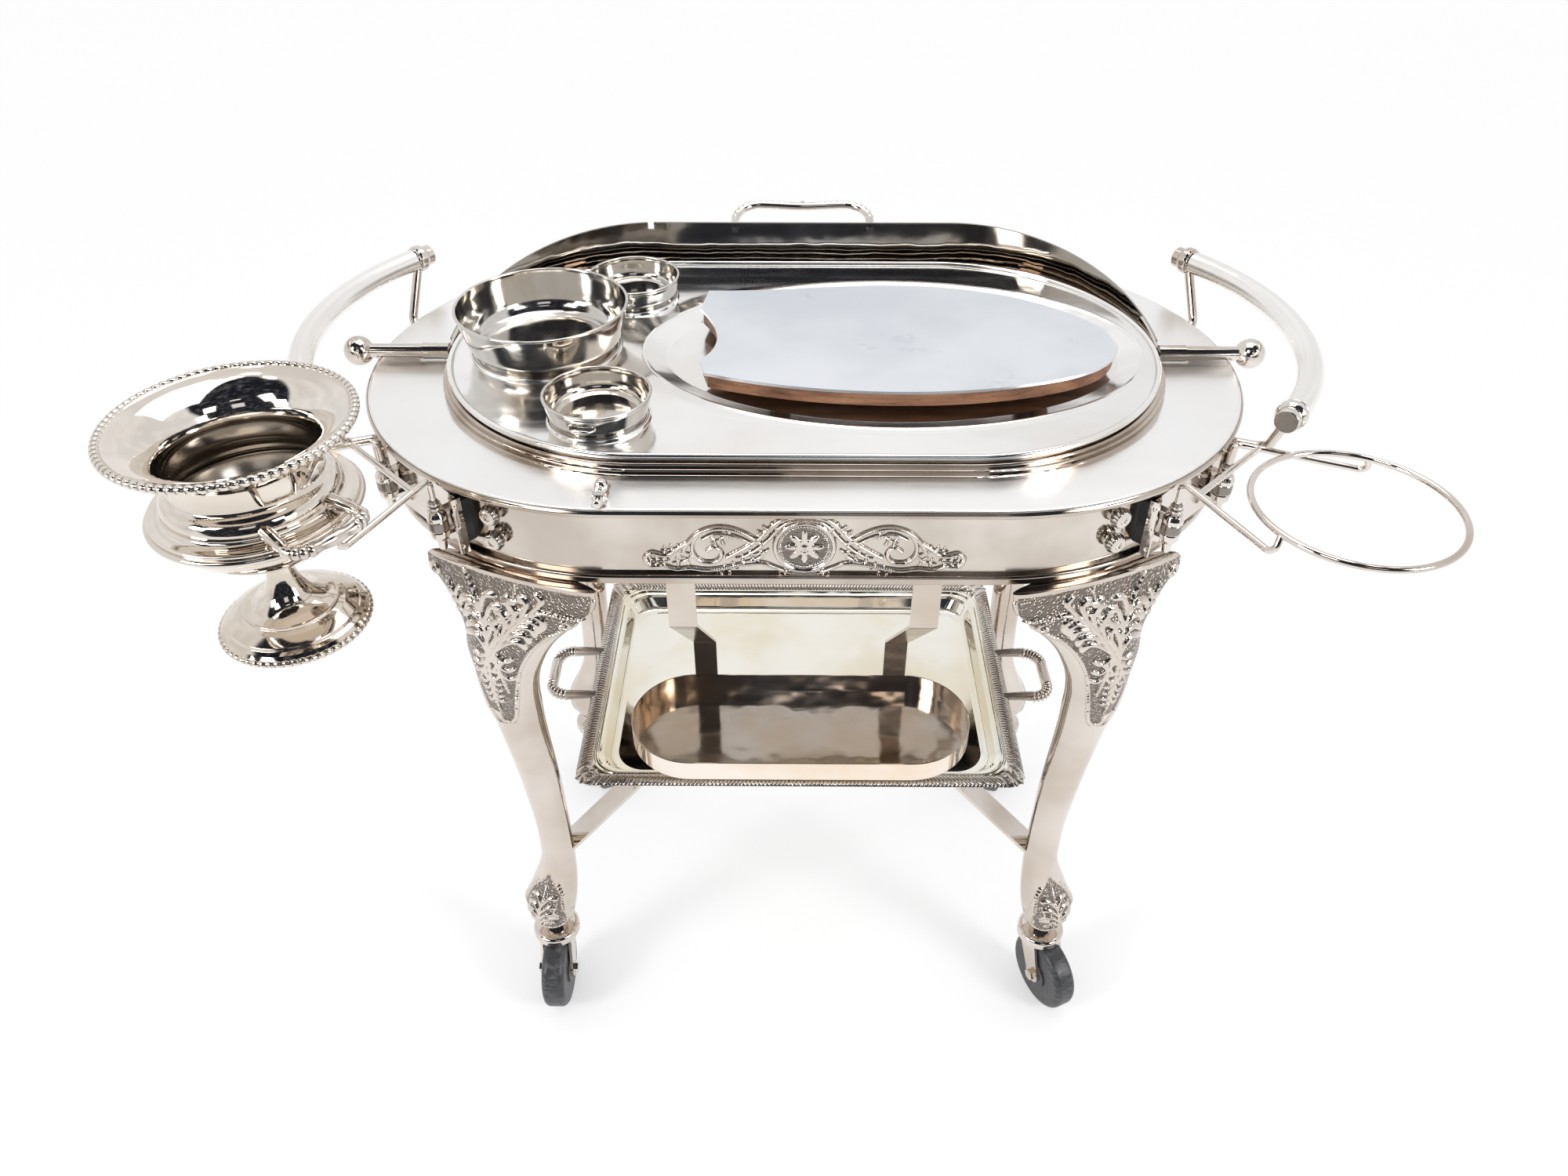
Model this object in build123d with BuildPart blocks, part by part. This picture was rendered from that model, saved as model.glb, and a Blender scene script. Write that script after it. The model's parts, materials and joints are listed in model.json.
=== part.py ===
import os
from math import cos, hypot, radians, sin, tan

from build123d import *

os.makedirs("parts", exist_ok=True)

# All lengths are millimetres. The floor is z = 0 and the deck is centred over the origin.
# X runs along the trolley, the operator stands at -Y and the dome opens towards +Y.

# Clearances and overruns
seat_gap = 0.2          # between fixed pieces that nest
part_gap = 0.3          # between pieces that lift apart
bearing_gap = 0.05      # radial, between a shaft and its bore
overrun = 1.0           # how far a cut passes the face it leaves

# Deck and body
plan_straight = 174.0   # half the straight side of the plan
deck_radius = 277.0
deck_top = 845.0
deck_edge = 8.0
deck_sheet = 3.0
deck_lip = 8.0
edge_round = 3.9
skirt_inset = 13.0
skirt_radius = deck_radius - skirt_inset
skirt_wall = 1.6
skirt_bottom = 759.0
rim_reach = 6.0
rim_radius = skirt_radius + rim_reach
rim_height = 10.0
rim_lip = 2.0
rim_round = 2.9

# Dome: its length follows the plan, its radius the deck
deck_border = 38.0
dome_radius = deck_radius - deck_border
dome_straight = plan_straight
dome_flattening = 36.0
dome_end = dome_radius - dome_flattening

# Well: bath, collar and insert
well_inset = 24.0
well_straight = plan_straight - well_inset
bath_margin = 29.0
bath_radius = dome_radius - bath_margin
bath_wall = 1.5
bath_bottom = 800.0
bath_lip = 4.0
bath_round = 3.0
collar_top = 857.0
collar_step = 4.0
collar_margins = (11.0, 14.5, 18.0)
collar_round = 1.5
insert_margin = 21.0
insert_radius = dome_radius - insert_margin
insert_sheet = 2.0
insert_bead = 6.0
bead_round = 2.9
meat_well_end_border = 13.0
meat_well_left_offset = 19.0
meat_well_right = well_straight + insert_radius - meat_well_end_border
meat_well_left = -well_straight - meat_well_left_offset
meat_well_x = (meat_well_left + meat_well_right) / 2
meat_well_half_length = (meat_well_right - meat_well_left) / 2
meat_well_border = 53.0
meat_well_half_width = insert_radius - meat_well_border
meat_well_depth = 8.0
meat_well_slope = 0.6
bowl_ring_height = 3.0
bowl_ring_wall = 3.0

# Roll-top dome and its trunnions
hinge_z = 855.0
dome_wall = 2.0
dome_hole = 22.0
dome_open_angle = 12.0
dome_relief_z = 830.0
dome_gap = 4.0
ear_reach = 62.0
ear_thickness = 3.0
ear_angle = 16.0
ear_root = 6.5
sleeve_radius = 8.5
sleeve_inset = 51.0
sleeve_end = plan_straight + deck_radius - sleeve_inset
spigot_radius = 5.5
rod_radius = 7.5
rod_reach = 5.0
rod_end = plan_straight + deck_radius + rod_reach
ball_radius = 15.5
ball_offset = 12.0
ball_x = rod_end + ball_offset
cradle_length = 44.0
cradle_width = 13.0
cradle_inset = 25.0
cradle_x = plan_straight + deck_radius - cradle_inset
lid_grip_half = 80.0
lid_grip_rise = 46.0
lid_grip_angle = 10.0
lid_grip_lean = 8.0
lid_grip_rod = 4.0
lid_grip_corner = 18.0
lid_foot_radius = 7.0
lid_foot_height = 3.0
screw_head_radius = 4.0
screw_head_height = 2.0

# Latch on the front of the deck
latch_offset = 6.0
latch_x = -plan_straight - latch_offset
latch_edge = 5.0
latch_front = deck_radius - latch_edge
latch_width = 13.0
latch_length = 34.0
latch_plate = 2.5
latch_lug = 4.0
latch_lug_width = 10.0
latch_bolt_radius = 2.6
latch_bolt_length = 38.0
latch_knob_radius = 4.4
latch_axis_z = 853.0
latch_play = 0.9
latch_notch = 7.0
latch_notch_depth = 9.0

# Legs, as cabriole castings: each station is a share of the leg's height, of its sway
# along X, of its sway outwards along Y, of the knee's half width and of its half depth.
leg_offset_x = 148.0
leg_inset_y = 87.0
leg_foot_x = plan_straight + leg_offset_x
leg_foot_y = deck_radius - leg_inset_y
leg_foot_z = 135.0
leg_sway = 60.0
knee_half_width = 96.0
knee_half_depth = 31.0
knee_turn = 22.0
leg_station_shares = (
    (1.000, -0.73, 0.93, 1.00, 0.39),
    (0.962, -0.72, 0.95, 0.93, 0.45),
    (0.930, -0.68, 0.96, 0.77, 0.55),
    (0.892, -0.59, 0.96, 0.59, 0.65),
    (0.815, -0.40, 0.83, 0.43, 0.81),
    (0.735, -0.30, 0.62, 0.335, 0.84),
    (0.650, -0.28, 0.43, 0.285, 0.80),
    (0.430, -0.33, 0.08, 0.235, 0.68),
    (0.265, -0.35, -0.05, 0.215, 0.61),
    (0.185, -0.31, -0.08, 0.23, 0.65),
    (0.120, -0.17, -0.05, 0.30, 0.84),
    (0.065, -0.03, 0.00, 0.345, 1.00),
    (0.025, 0.00, 0.00, 0.30, 0.90),
    (0.000, 0.00, 0.00, 0.22, 0.68),
)
foot_bore_depth = 24.0

# Casters
wheel_radius = 51.0
wheel_width = 30.0
wheel_round = 8.0
hub_radius = 20.0
hub_width = 34.0
axle_radius = 4.0
axle_head_radius = 8.0
axle_head = 5.0
caster_trail = 24.0
caster_stem_radius = 6.0
caster_neck_radius = 14.0
caster_crown_radius = 30.0
caster_crown = 12.0
caster_crown_round = 5.0
fork_plate = 3.5
fork_half_width = 17.5
fork_eye_radius = 12.0
wheel_crown_gap = 3.0
front_caster_turn = (0.0, 25.0)
rear_caster_turn = (20.0, -15.0)

# Stretchers under the tray
strap_width = 28.0
strap_thickness = 5.0
strap_leg_z = 262.0
strap_rise_reach = 215.0
strap_bend = 20.0

# Serving tray
tray_leg_gap_x = 50.0
tray_leg_lap_y = 6.0
tray_half_length = leg_foot_x - tray_leg_gap_x
tray_half_width = leg_foot_y + tray_leg_lap_y
tray_y = 20.0
tray_corner = 22.0
tray_floor_z = 350.0
tray_rim_z = 375.0
tray_sheet = 2.0
tray_flare = 16.0
tray_border = 20.0
tray_border_height = 7.0
tray_border_round = 3.4
tray_well_corner = 34.0
tray_grip_half = 42.0
tray_grip_reach = 60.0
tray_grip_radius = 6.5
tray_grip_corner = 22.0

# Burner pan and its hangers
pan_inset_x = 48.5
pan_inset_y = 125.5
pan_straight = plan_straight - pan_inset_x
pan_radius = 73.5
pan_y = pan_inset_y - skirt_radius
pan_bottom = 424.0
pan_height = 28.0
pan_wall = 1.5
hanger_inset = 59.0
hanger_x = plan_straight - hanger_inset
hanger_width = 27.0
hanger_thickness = 3.0
hanger_top = 800.0
hanger_knee_z = 700.0
hanger_low_z = 505.0
hanger_foot = 140.0
hanger_bend = 4.0
pan_round = 3.0

# Push handles
grip_z = 883.0
grip_end_inset = 2.0
grip_end_x = plan_straight + deck_radius - grip_end_inset
grip_end_inset_y = 107.0
grip_end_y = deck_radius - grip_end_inset_y
grip_bow = 58.0
grip_middle_x = grip_end_x + grip_bow
grip_radius = 12.0
fitting_radius = 14.5
fitting_length = 14.0
stub_radius = 11.0
stub_length = 9.0
arm_radius = 5.0
arm_angle = 25.0
arm_turn_reach = 44.0
arm_turn_out = skirt_radius + arm_turn_reach
arm_turn_z = 820.0
arm_root_z = 818.0
arm_bend = 16.0

# Ring holders at the two front corners, in a frame that looks out over the corner
corner_angle = 45.0
bracket_gap = 2.0
bracket_out = skirt_radius + bracket_gap
bracket_plate = 3.0
bracket_half_length = 72.0
bracket_low = 772.0
bracket_high = 832.0
bracket_flange = 9.0
pad_width = 14.0
pad_height = 46.0
pad_along = 60.0
barrel_offset = 14.0
barrel_groove = 1.5
barrel_out = bracket_out + barrel_offset
barrel_along = 47.0
barrel_radius = 9.5
barrel_low = 780.0
barrel_high = 824.0
barrel_neck_radius = 6.5
barrel_tip = 12.0
barrel_waist = 5.0
bracket_screw_along = 24.0
bracket_screw_radius = 3.5
ring_pin_radius = 3.0
ring_rod_z = 846.0
ring_reach = 133.0
ring_out = barrel_out + ring_reach
ring_z = 862.0
ring_radius = 86.0
ring_hook_inset = 25.0
ring_hook_out = ring_out - ring_hook_inset
ring_hook_along = 90.0
ring_hook_turn = 72.0
ring_bar_offset = 20.0
ring_bar_out = barrel_out + ring_bar_offset
ring_bend = 7.0
nut_angle = 66.0
nut_heights = (819.0, 791.0)
nut_radius = 10.0
nut_length = 11.0
nut_round = 4.0
nut_washer_radius = 7.0
nut_washer = 2.0

# Front ornament, half outline as shares of its half length and height
ornament_half_length = 146.0
ornament_low = 768.0
ornament_height = 60.0
ornament_thickness = 4.0
medallion_radius = 30.0
medallion_z = 798.0
medallion_thickness = 7.0
ornament_outline_shares = ((1.0, 0.0), (0.93, 0.30), (0.70, 0.42), (0.50, 0.66), (0.30, 0.72))

# Wine cooler in the left ring
urn_top = 945.0
urn_foot_z = 731.0
urn_rim_radius = 102.0
urn_neck_radius = 60.0
urn_belly_radius = 85.5
urn_wall = 1.5
urn_stem_radius = 11.0
urn_stem_z = 806.0
urn_foot_radius = 68.0
urn_foot_edge = 8.0
urn_lip = 4.0
urn_ledge = 4.0
urn_grip_radius = 4.5
urn_grip_reach = 34.0
urn_grip_half = 36.0
urn_grip_turn = -38.0
urn_grip_z = 879.0
urn_height_band = 40.0
urn_under_shares = ((0.20, 0.0), (0.45, 0.16), (0.80, 0.55))
urn_side_shares = ((0.22, 0.20), (0.02, 0.36), (0.02, 0.58), (0.35, 0.84), (0.97, 0.955))
urn_foot_shares = ((0.0, 1.0), (0.06, 0.72), (0.30, 0.34), (0.62, 0.17), (0.92, 0.0))

# Carving board, its outline in shares of its half length and half width
board_offset = 15.0
board_x = meat_well_x + board_offset
board_y = -8.0
board_end_gap = 50.0
board_side_gap = 45.0
board_half_length = meat_well_half_length - board_end_gap
board_half_width = meat_well_half_width - board_side_gap
board_wood = 14.0
board_metal = 3.0
board_inset = 3.0
board_foot_radius = 9.0
board_foot = 10.0
board_foot_x_share = 0.6
board_foot_y_share = 0.45
board_rear_shares = ((-1.0, 0.88), (-0.60, 0.92), (0.01, 1.0), (0.40, 0.88), (0.71, 0.60), (0.97, 0.10))
board_front_shares = ((0.995, -0.21), (0.90, -0.52), (0.60, -0.82), (-0.08, -1.0), (-0.60, -0.90), (-0.97, -0.70))
board_notch_shares = ((-1.0, -0.48), (-0.93, -0.15), (-0.95, 0.16), (-1.03, 0.50))

# Bowls standing in low rings on the insert: places and radii as shares of its radius
big_bowl_offset = 119.0
big_bowl_radius_share = 0.4083
big_bowl_top = 910.0
big_bowl_body_share = 0.3211
big_bowl_flange_share = 0.3486
small_bowl_radius_share = 0.2385
small_bowl_top = 888.0
small_bowl_body_share = 0.1972
small_bowl_flange_share = 0.2156
small_bowl_offsets = (45.0, 40.0)
small_bowl_side_shares = (-0.6606, 0.5596)
bowl_wall = 1.5
bowl_floor = 2.5
bowl_waist_out = 0.62
bowl_waist_up = 0.4
bowl_lip = 2.5
bowl_grip_radius = 2.0
bowl_grip_reach = 11.0
bowl_grip_half = 12.0
bowl_grip_turn = 80.0

# Places worked out from the sizes above
sheet_underside = deck_top - deck_sheet
deck_underside = deck_top - deck_edge
insert_base = collar_top + bath_wall
insert_top = insert_base + insert_sheet
rim_base = skirt_bottom - rim_lip
axle_z = wheel_radius
crown_base = 2 * wheel_radius + wheel_crown_gap
collar_radii = [dome_radius - margin for margin in collar_margins]
big_bowl_place = (-well_straight - big_bowl_offset, 0)
small_bowl_places = [
    (-well_straight - offset, share * insert_radius)
    for offset, share in zip(small_bowl_offsets, small_bowl_side_shares)
]
big_bowl_flange = big_bowl_flange_share * insert_radius
small_bowl_flange = small_bowl_flange_share * insert_radius
bowl_rings = [(big_bowl_place, big_bowl_flange)] + [
    (place, small_bowl_flange) for place in small_bowl_places
]
hinge_line = Axis((0, 0, hinge_z), (-1, 0, 0))
open_slope = Plane(
    origin=(0, 0, hinge_z),
    x_dir=(1, 0, 0),
    z_dir=(0, -sin(radians(dome_open_angle)), cos(radians(dome_open_angle))),
)
room = 2 * (dome_straight + dome_end)


def stadium(straight, radius, mode=Mode.ADD):
    """A plan with two straight sides and two half-round ends, inside a sketch."""
    SlotCenterToCenter(2 * straight, 2 * radius, mode=mode)


def dome_outline(inset, mode=Mode.ADD):
    """The dome's outline along its hinge line: straight sides with elliptic ends."""
    Rectangle(2 * dome_straight, 2 * (dome_radius - inset), mode=mode)
    with Locations((dome_straight, 0), (-dome_straight, 0)):
        Ellipse(dome_end - inset, dome_radius - inset, mode=mode)


def keep_half(direction):
    """Keeps the half of a plan sketch on one side of the hinge line."""
    with Locations((0, direction * room / 2)):
        Rectangle(2 * room, room, mode=Mode.INTERSECT)


def corner_frame(side, out, along, height):
    """A plane at a front corner: its X looks outwards over the corner, its Z is up."""
    n = Vector(side * cos(radians(corner_angle)), -sin(radians(corner_angle)), 0)
    t = Vector(side * sin(radians(corner_angle)), cos(radians(corner_angle)), 0)
    origin = Vector(side * plan_straight, 0, height) + n * out + t * along
    return Plane(origin=origin, x_dir=n, z_dir=(0, 0, 1))


def rod(points, radius, bend):
    """A round rod along straight runs with rounded corners, inside a part."""
    with BuildLine() as path:
        FilletPolyline(*points, radius=bend)
    with BuildSketch(Plane(origin=path.line @ 0, z_dir=path.line % 0)) as section:
        Circle(radius)
    sweep(sections=section.sketch, path=path.line)


def flat_bar(points, width, thickness, bend, plane):
    """A flat bar along a bent path in a plane, inside a part; its width is square to the plane."""
    with BuildLine(plane) as path:
        FilletPolyline(*points, radius=bend)
    start = Plane(origin=path.line @ 0, x_dir=plane.z_dir, z_dir=path.line % 0)
    with BuildSketch(start) as section:
        Rectangle(width, thickness)
    sweep(sections=section.sketch, path=path.line)


def save(part, name):
    part.label = name
    export_step(part, f"parts/{name}.step")


# Deck: a sheet with a rounded edge, open for the bath in front and for the dome behind
with BuildPart() as deck_flange:
    with BuildSketch(Plane.XY.offset(deck_underside)):
        stadium(plan_straight, deck_radius)
    extrude(amount=deck_edge)
    fillet(deck_flange.edges(), edge_round)
    with BuildSketch(Plane.XY.offset(deck_underside)):
        stadium(plan_straight, deck_radius - deck_lip)
    extrude(amount=deck_edge - deck_sheet, mode=Mode.SUBTRACT)
    with BuildSketch(Plane.XY.offset(sheet_underside)):
        stadium(well_straight, bath_radius + seat_gap)
        keep_half(-1)
    extrude(amount=deck_sheet, mode=Mode.SUBTRACT)
    with BuildSketch(Plane.XY.offset(sheet_underside)):
        dome_outline(-dome_gap)
        keep_half(1)
    extrude(amount=deck_sheet, mode=Mode.SUBTRACT)
save(deck_flange.part, "deck_flange")

# The space inside the dome, which everything in the well stays clear of
with BuildPart() as dome_room:
    with BuildSketch(Plane(origin=(0, 0, hinge_z), x_dir=(1, 0, 0), z_dir=(0, -1, 0))):
        dome_outline(dome_wall + ear_thickness + seat_gap)
        keep_half(1)
    revolve(axis=hinge_line)

# Collar: a stepped moulding round the bath
with BuildPart() as well_collar:
    for level, radius in enumerate(collar_radii):
        with BuildSketch(Plane.XY.offset(deck_top)):
            stadium(well_straight, radius)
        extrude(amount=(level + 1) * collar_step)
        fillet(well_collar.faces().sort_by(Axis.Z)[-1].edges(), collar_round)
    with BuildSketch(Plane.XY.offset(deck_top)):
        stadium(well_straight, bath_radius + seat_gap)
    extrude(amount=collar_top - deck_top, mode=Mode.SUBTRACT)
    add(dome_room.part, mode=Mode.INTERSECT)
save(well_collar.part, "well_collar")

# Bath: the water pan that hangs in the collar by its lip
with BuildPart() as water_bath:
    with BuildSketch(Plane.XY.offset(bath_bottom)):
        stadium(well_straight, bath_radius)
    extrude(amount=insert_base - bath_bottom)
    fillet(water_bath.faces().sort_by(Axis.Z)[0].edges(), bath_round)
    with BuildSketch(Plane.XY.offset(collar_top)):
        stadium(well_straight, bath_radius + bath_lip)
    extrude(amount=bath_wall)
    with BuildSketch(Plane.XY.offset(bath_bottom + bath_wall)):
        stadium(well_straight, bath_radius - bath_wall)
    extrude(amount=insert_base - bath_bottom, mode=Mode.SUBTRACT)
save(water_bath.part, "water_bath")

# Skirt and its bottom moulding
with BuildPart() as body_skirt:
    with BuildSketch(Plane.XY.offset(skirt_bottom)):
        stadium(plan_straight, skirt_radius)
        stadium(plan_straight, skirt_radius - skirt_wall, mode=Mode.SUBTRACT)
    extrude(amount=sheet_underside - skirt_bottom)
save(body_skirt.part, "body_skirt")

with BuildPart() as skirt_rim:
    with BuildSketch(Plane.XY.offset(rim_base)):
        stadium(plan_straight, rim_radius)
    extrude(amount=rim_height)
    fillet(skirt_rim.edges(), rim_round)
    with BuildSketch(Plane.XY.offset(rim_base)):
        stadium(plan_straight, skirt_radius - skirt_wall)
    extrude(amount=rim_height, mode=Mode.SUBTRACT)
    with BuildSketch(Plane.XY.offset(skirt_bottom)):
        stadium(plan_straight, skirt_radius)
    extrude(amount=rim_height, mode=Mode.SUBTRACT)
save(skirt_rim.part, "skirt_rim")


# Legs
def make_leg(name, side, front):
    leg_height = rim_base - leg_foot_z
    turn = Vector(side * cos(radians(knee_turn)), -front * sin(radians(knee_turn)), 0)
    with BuildPart() as leg:
        for high, along, outwards, width, depth in leg_station_shares:
            place = (
                side * (leg_foot_x + along * leg_sway),
                front * (leg_foot_y + outwards * leg_sway),
                leg_foot_z + high * leg_height,
            )
            with BuildSketch(Plane(origin=place, x_dir=turn, z_dir=(0, 0, 1))):
                Ellipse(width * knee_half_width, depth * knee_half_depth)
        loft()
        with Locations((side * leg_foot_x, front * leg_foot_y, leg_foot_z)):
            Cylinder(
                caster_stem_radius + bearing_gap,
                foot_bore_depth,
                align=(Align.CENTER, Align.CENTER, Align.MIN),
                mode=Mode.SUBTRACT,
            )
    save(leg.part, name)
    return leg.part


leg_places = {
    "leg_front_left": (-1, -1),
    "leg_front_right": (1, -1),
    "leg_rear_left": (-1, 1),
    "leg_rear_right": (1, 1),
}
legs = {name: make_leg(name, *place) for name, place in leg_places.items()}

# Stretchers: two flat bars that cross under the tray
leg_reach_x = leg_foot_x + leg_sway * leg_station_shares[8][1]
leg_reach_y = leg_foot_y + leg_sway * leg_station_shares[8][2]
leg_reach = hypot(leg_reach_x, leg_reach_y)
with BuildPart() as stretchers:
    for side, level in ((1, 0), (-1, 1)):
        flat_top = tray_floor_z - strap_thickness / 2 - level * strap_thickness
        diagonal = Plane(
            origin=(0, 0, 0),
            x_dir=(leg_reach_x, side * leg_reach_y, 0),
            z_dir=(side * leg_reach_y, -leg_reach_x, 0),
        )
        run = (
            (-leg_reach, strap_leg_z),
            (-strap_rise_reach, flat_top),
            (strap_rise_reach, flat_top),
            (leg_reach, strap_leg_z),
        )
        flat_bar(run, strap_width, strap_thickness, strap_bend, diagonal)
    for leg in legs.values():
        add(leg, mode=Mode.SUBTRACT)
save(stretchers.part, "stretchers")

# Hangers for the burner pan, riveted inside the skirt
hanger_face = skirt_radius - skirt_wall - hanger_thickness / 2
hanger_back = pan_y + pan_radius + part_gap + hanger_thickness / 2
foot_z = pan_bottom - hanger_thickness / 2
with BuildPart() as pan_hangers:
    for side in (-1, 1):
        run = (
            (-hanger_face, hanger_top),
            (-hanger_face, hanger_knee_z),
            (hanger_back, hanger_low_z),
            (hanger_back, foot_z),
            (hanger_back - hanger_foot, foot_z),
        )
        hanger_plane = Plane(origin=(side * hanger_x, 0, 0), x_dir=(0, 1, 0), z_dir=(1, 0, 0))
        flat_bar(run, hanger_width, hanger_thickness, hanger_bend, hanger_plane)
save(pan_hangers.part, "pan_hangers")

with BuildPart() as burner_pan:
    with BuildSketch(Plane(origin=(0, pan_y, pan_bottom))):
        stadium(pan_straight, pan_radius)
    extrude(amount=pan_height)
    fillet(burner_pan.faces().sort_by(Axis.Z)[0].edges(), pan_round)
    with BuildSketch(Plane(origin=(0, pan_y, pan_bottom + pan_wall))):
        stadium(pan_straight, pan_radius - pan_wall)
    extrude(amount=pan_height, mode=Mode.SUBTRACT)
save(burner_pan.part, "burner_pan")

# Trunnions: a fixed rod with a ball end on each side, lying in a cradle on the deck
ear_inside = dome_straight + dome_end - dome_wall - ear_thickness
with BuildPart() as trunnion_pins:
    for side in (-1, 1):
        across = Plane(origin=(0, 0, hinge_z), x_dir=(0, 1, 0), z_dir=(side, 0, 0))
        with BuildSketch(across.offset(ear_inside)):
            Circle(spigot_radius)
        extrude(amount=rod_end - ear_inside)
        with BuildSketch(across.offset(sleeve_end + part_gap)):
            Circle(rod_radius)
        extrude(amount=rod_end - sleeve_end - part_gap)
        with Locations((side * ball_x, 0, hinge_z)):
            Sphere(ball_radius)
save(trunnion_pins.part, "trunnion_pins")

with BuildPart() as trunnion_cradles:
    for side in (-1, 1):
        with Locations((side * cradle_x, 0, deck_top)):
            Box(
                cradle_length,
                cradle_width,
                hinge_z - deck_top,
                align=(Align.CENTER, Align.CENTER, Align.MIN),
            )
    add(trunnion_pins.part, mode=Mode.SUBTRACT)
save(trunnion_cradles.part, "trunnion_cradles")

# Dome: half a surface of revolution about the hinge line, drawn open
with BuildPart() as lid_shell:
    with BuildSketch(open_slope):
        dome_outline(0)
        keep_half(1)
    revolve(axis=hinge_line, revolution_arc=180)
    with BuildSketch(open_slope):
        dome_outline(dome_wall)
        keep_half(1)
    revolve(axis=hinge_line, mode=Mode.SUBTRACT)
    with BuildSketch(Plane(origin=(-room / 2, 0, hinge_z), x_dir=(0, 1, 0), z_dir=(1, 0, 0))):
        Circle(dome_hole)
    extrude(amount=room, mode=Mode.SUBTRACT)
    with Locations((0, -dome_radius / 2, dome_relief_z)):
        Box(
            room,
            dome_radius,
            dome_radius,
            align=(Align.CENTER, Align.CENTER, Align.MIN),
            mode=Mode.SUBTRACT,
        )
    with Locations(open_slope * Pos(latch_x, dome_radius, 0)):
        Box(latch_notch, 2 * dome_wall + latch_notch, 2 * latch_notch_depth, mode=Mode.SUBTRACT)
save(lid_shell.part, "lid_shell")


# Dome ears: a curved strap inside each end, with the sleeve that turns on the trunnion
def make_ear(name, side):
    across = Plane(origin=(0, 0, hinge_z), x_dir=(0, 1, 0), z_dir=(side, 0, 0))
    with BuildPart() as ear:
        with BuildSketch(open_slope):
            dome_outline(dome_wall)
            dome_outline(dome_wall + ear_thickness, mode=Mode.SUBTRACT)
            with Locations((side * room / 2, ear_root + (ear_reach - ear_root) / 2)):
                Rectangle(room, ear_reach - ear_root, mode=Mode.INTERSECT)
        revolve(axis=hinge_line, revolution_arc=ear_angle)
        with BuildSketch(across.offset(ear_inside)):
            Circle(sleeve_radius)
        extrude(amount=sleeve_end - ear_inside)
        with BuildSketch(across.offset(ear_inside)):
            Circle(spigot_radius + bearing_gap)
        extrude(amount=sleeve_end - ear_inside, mode=Mode.SUBTRACT)
    save(ear.part, name)


make_ear("lid_ear_left", -1)
make_ear("lid_ear_right", 1)

# Dome handle: a bail on two round feet, with its screws inside the dome
grip_base = Plane(
    origin=(
        0,
        dome_radius * cos(radians(lid_grip_angle)),
        hinge_z + dome_radius * sin(radians(lid_grip_angle)),
    ),
    x_dir=(1, 0, 0),
    z_dir=(
        0,
        cos(radians(lid_grip_angle + lid_grip_lean)),
        sin(radians(lid_grip_angle + lid_grip_lean)),
    ),
)
foot_axis = Plane(
    origin=(0, 0, hinge_z),
    x_dir=(1, 0, 0),
    z_dir=(0, cos(radians(lid_grip_angle)), sin(radians(lid_grip_angle))),
)
with BuildPart() as dome_core:
    with BuildSketch(Plane(origin=(-room / 2, 0, hinge_z), x_dir=(0, 1, 0), z_dir=(1, 0, 0))):
        Circle(dome_radius)
    extrude(amount=room)
with BuildPart() as lid_handle:
    ends = [(side * lid_grip_half, 0, 0) for side in (-1, 1)]
    tops = [(side * lid_grip_half, 0, lid_grip_rise) for side in (-1, 1)]
    bail = [grip_base.from_local_coords(Vector(*p)) for p in (ends[0], tops[0], tops[1], ends[1])]
    rod(bail, lid_grip_rod, lid_grip_corner)
    with BuildSketch(foot_axis.offset(dome_radius - overrun)):
        with Locations((-lid_grip_half, 0), (lid_grip_half, 0)):
            Circle(lid_foot_radius)
    extrude(amount=lid_foot_height + overrun)
    add(dome_core.part, mode=Mode.SUBTRACT)
save(lid_handle.part, "lid_handle")

with BuildPart() as dome_bore:
    with BuildSketch(Plane(origin=(-room / 2, 0, hinge_z), x_dir=(0, 1, 0), z_dir=(1, 0, 0))):
        Circle(dome_radius - dome_wall)
    extrude(amount=room)
with BuildPart() as lid_screws:
    with BuildSketch(foot_axis.offset(dome_radius - dome_wall - screw_head_height)):
        with Locations((-lid_grip_half, 0), (lid_grip_half, 0)):
            Circle(screw_head_radius)
    extrude(amount=screw_head_height + overrun)
    add(dome_bore.part, mode=Mode.INTERSECT)
save(lid_screws.part, "lid_screws")

# Latch: a strip with two lugs, and a bolt that slides through them into the dome's notch
latch_rear = latch_front - latch_length
with BuildPart() as latch_keep:
    with BuildSketch(Plane.XY.offset(deck_top)):
        with Locations((latch_x, -(latch_front + latch_rear) / 2)):
            Rectangle(latch_width, latch_length)
    extrude(amount=latch_plate)
    with BuildSketch(Plane.XY.offset(deck_top + latch_plate)):
        for edge in (latch_front - latch_lug, latch_front - latch_length / 2 - latch_lug):
            with Locations((latch_x, -edge)):
                Rectangle(latch_lug_width, latch_lug)
    extrude(amount=latch_axis_z + latch_knob_radius - deck_top - latch_plate)
    with BuildSketch(Plane.XZ):
        with Locations((latch_x, latch_axis_z)):
            Circle(latch_bolt_radius + bearing_gap)
    extrude(amount=deck_radius, mode=Mode.SUBTRACT)
save(latch_keep.part, "latch_keep")

bolt_rear = dome_radius + latch_play
with BuildPart() as latch_bolt:
    with BuildSketch(Plane.XZ.offset(bolt_rear)):
        with Locations((latch_x, latch_axis_z)):
            Circle(latch_bolt_radius)
    extrude(amount=latch_bolt_length)
    with Locations((latch_x, -bolt_rear - latch_bolt_length, latch_axis_z)):
        Sphere(latch_knob_radius)
save(latch_bolt.part, "latch_bolt")


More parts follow.
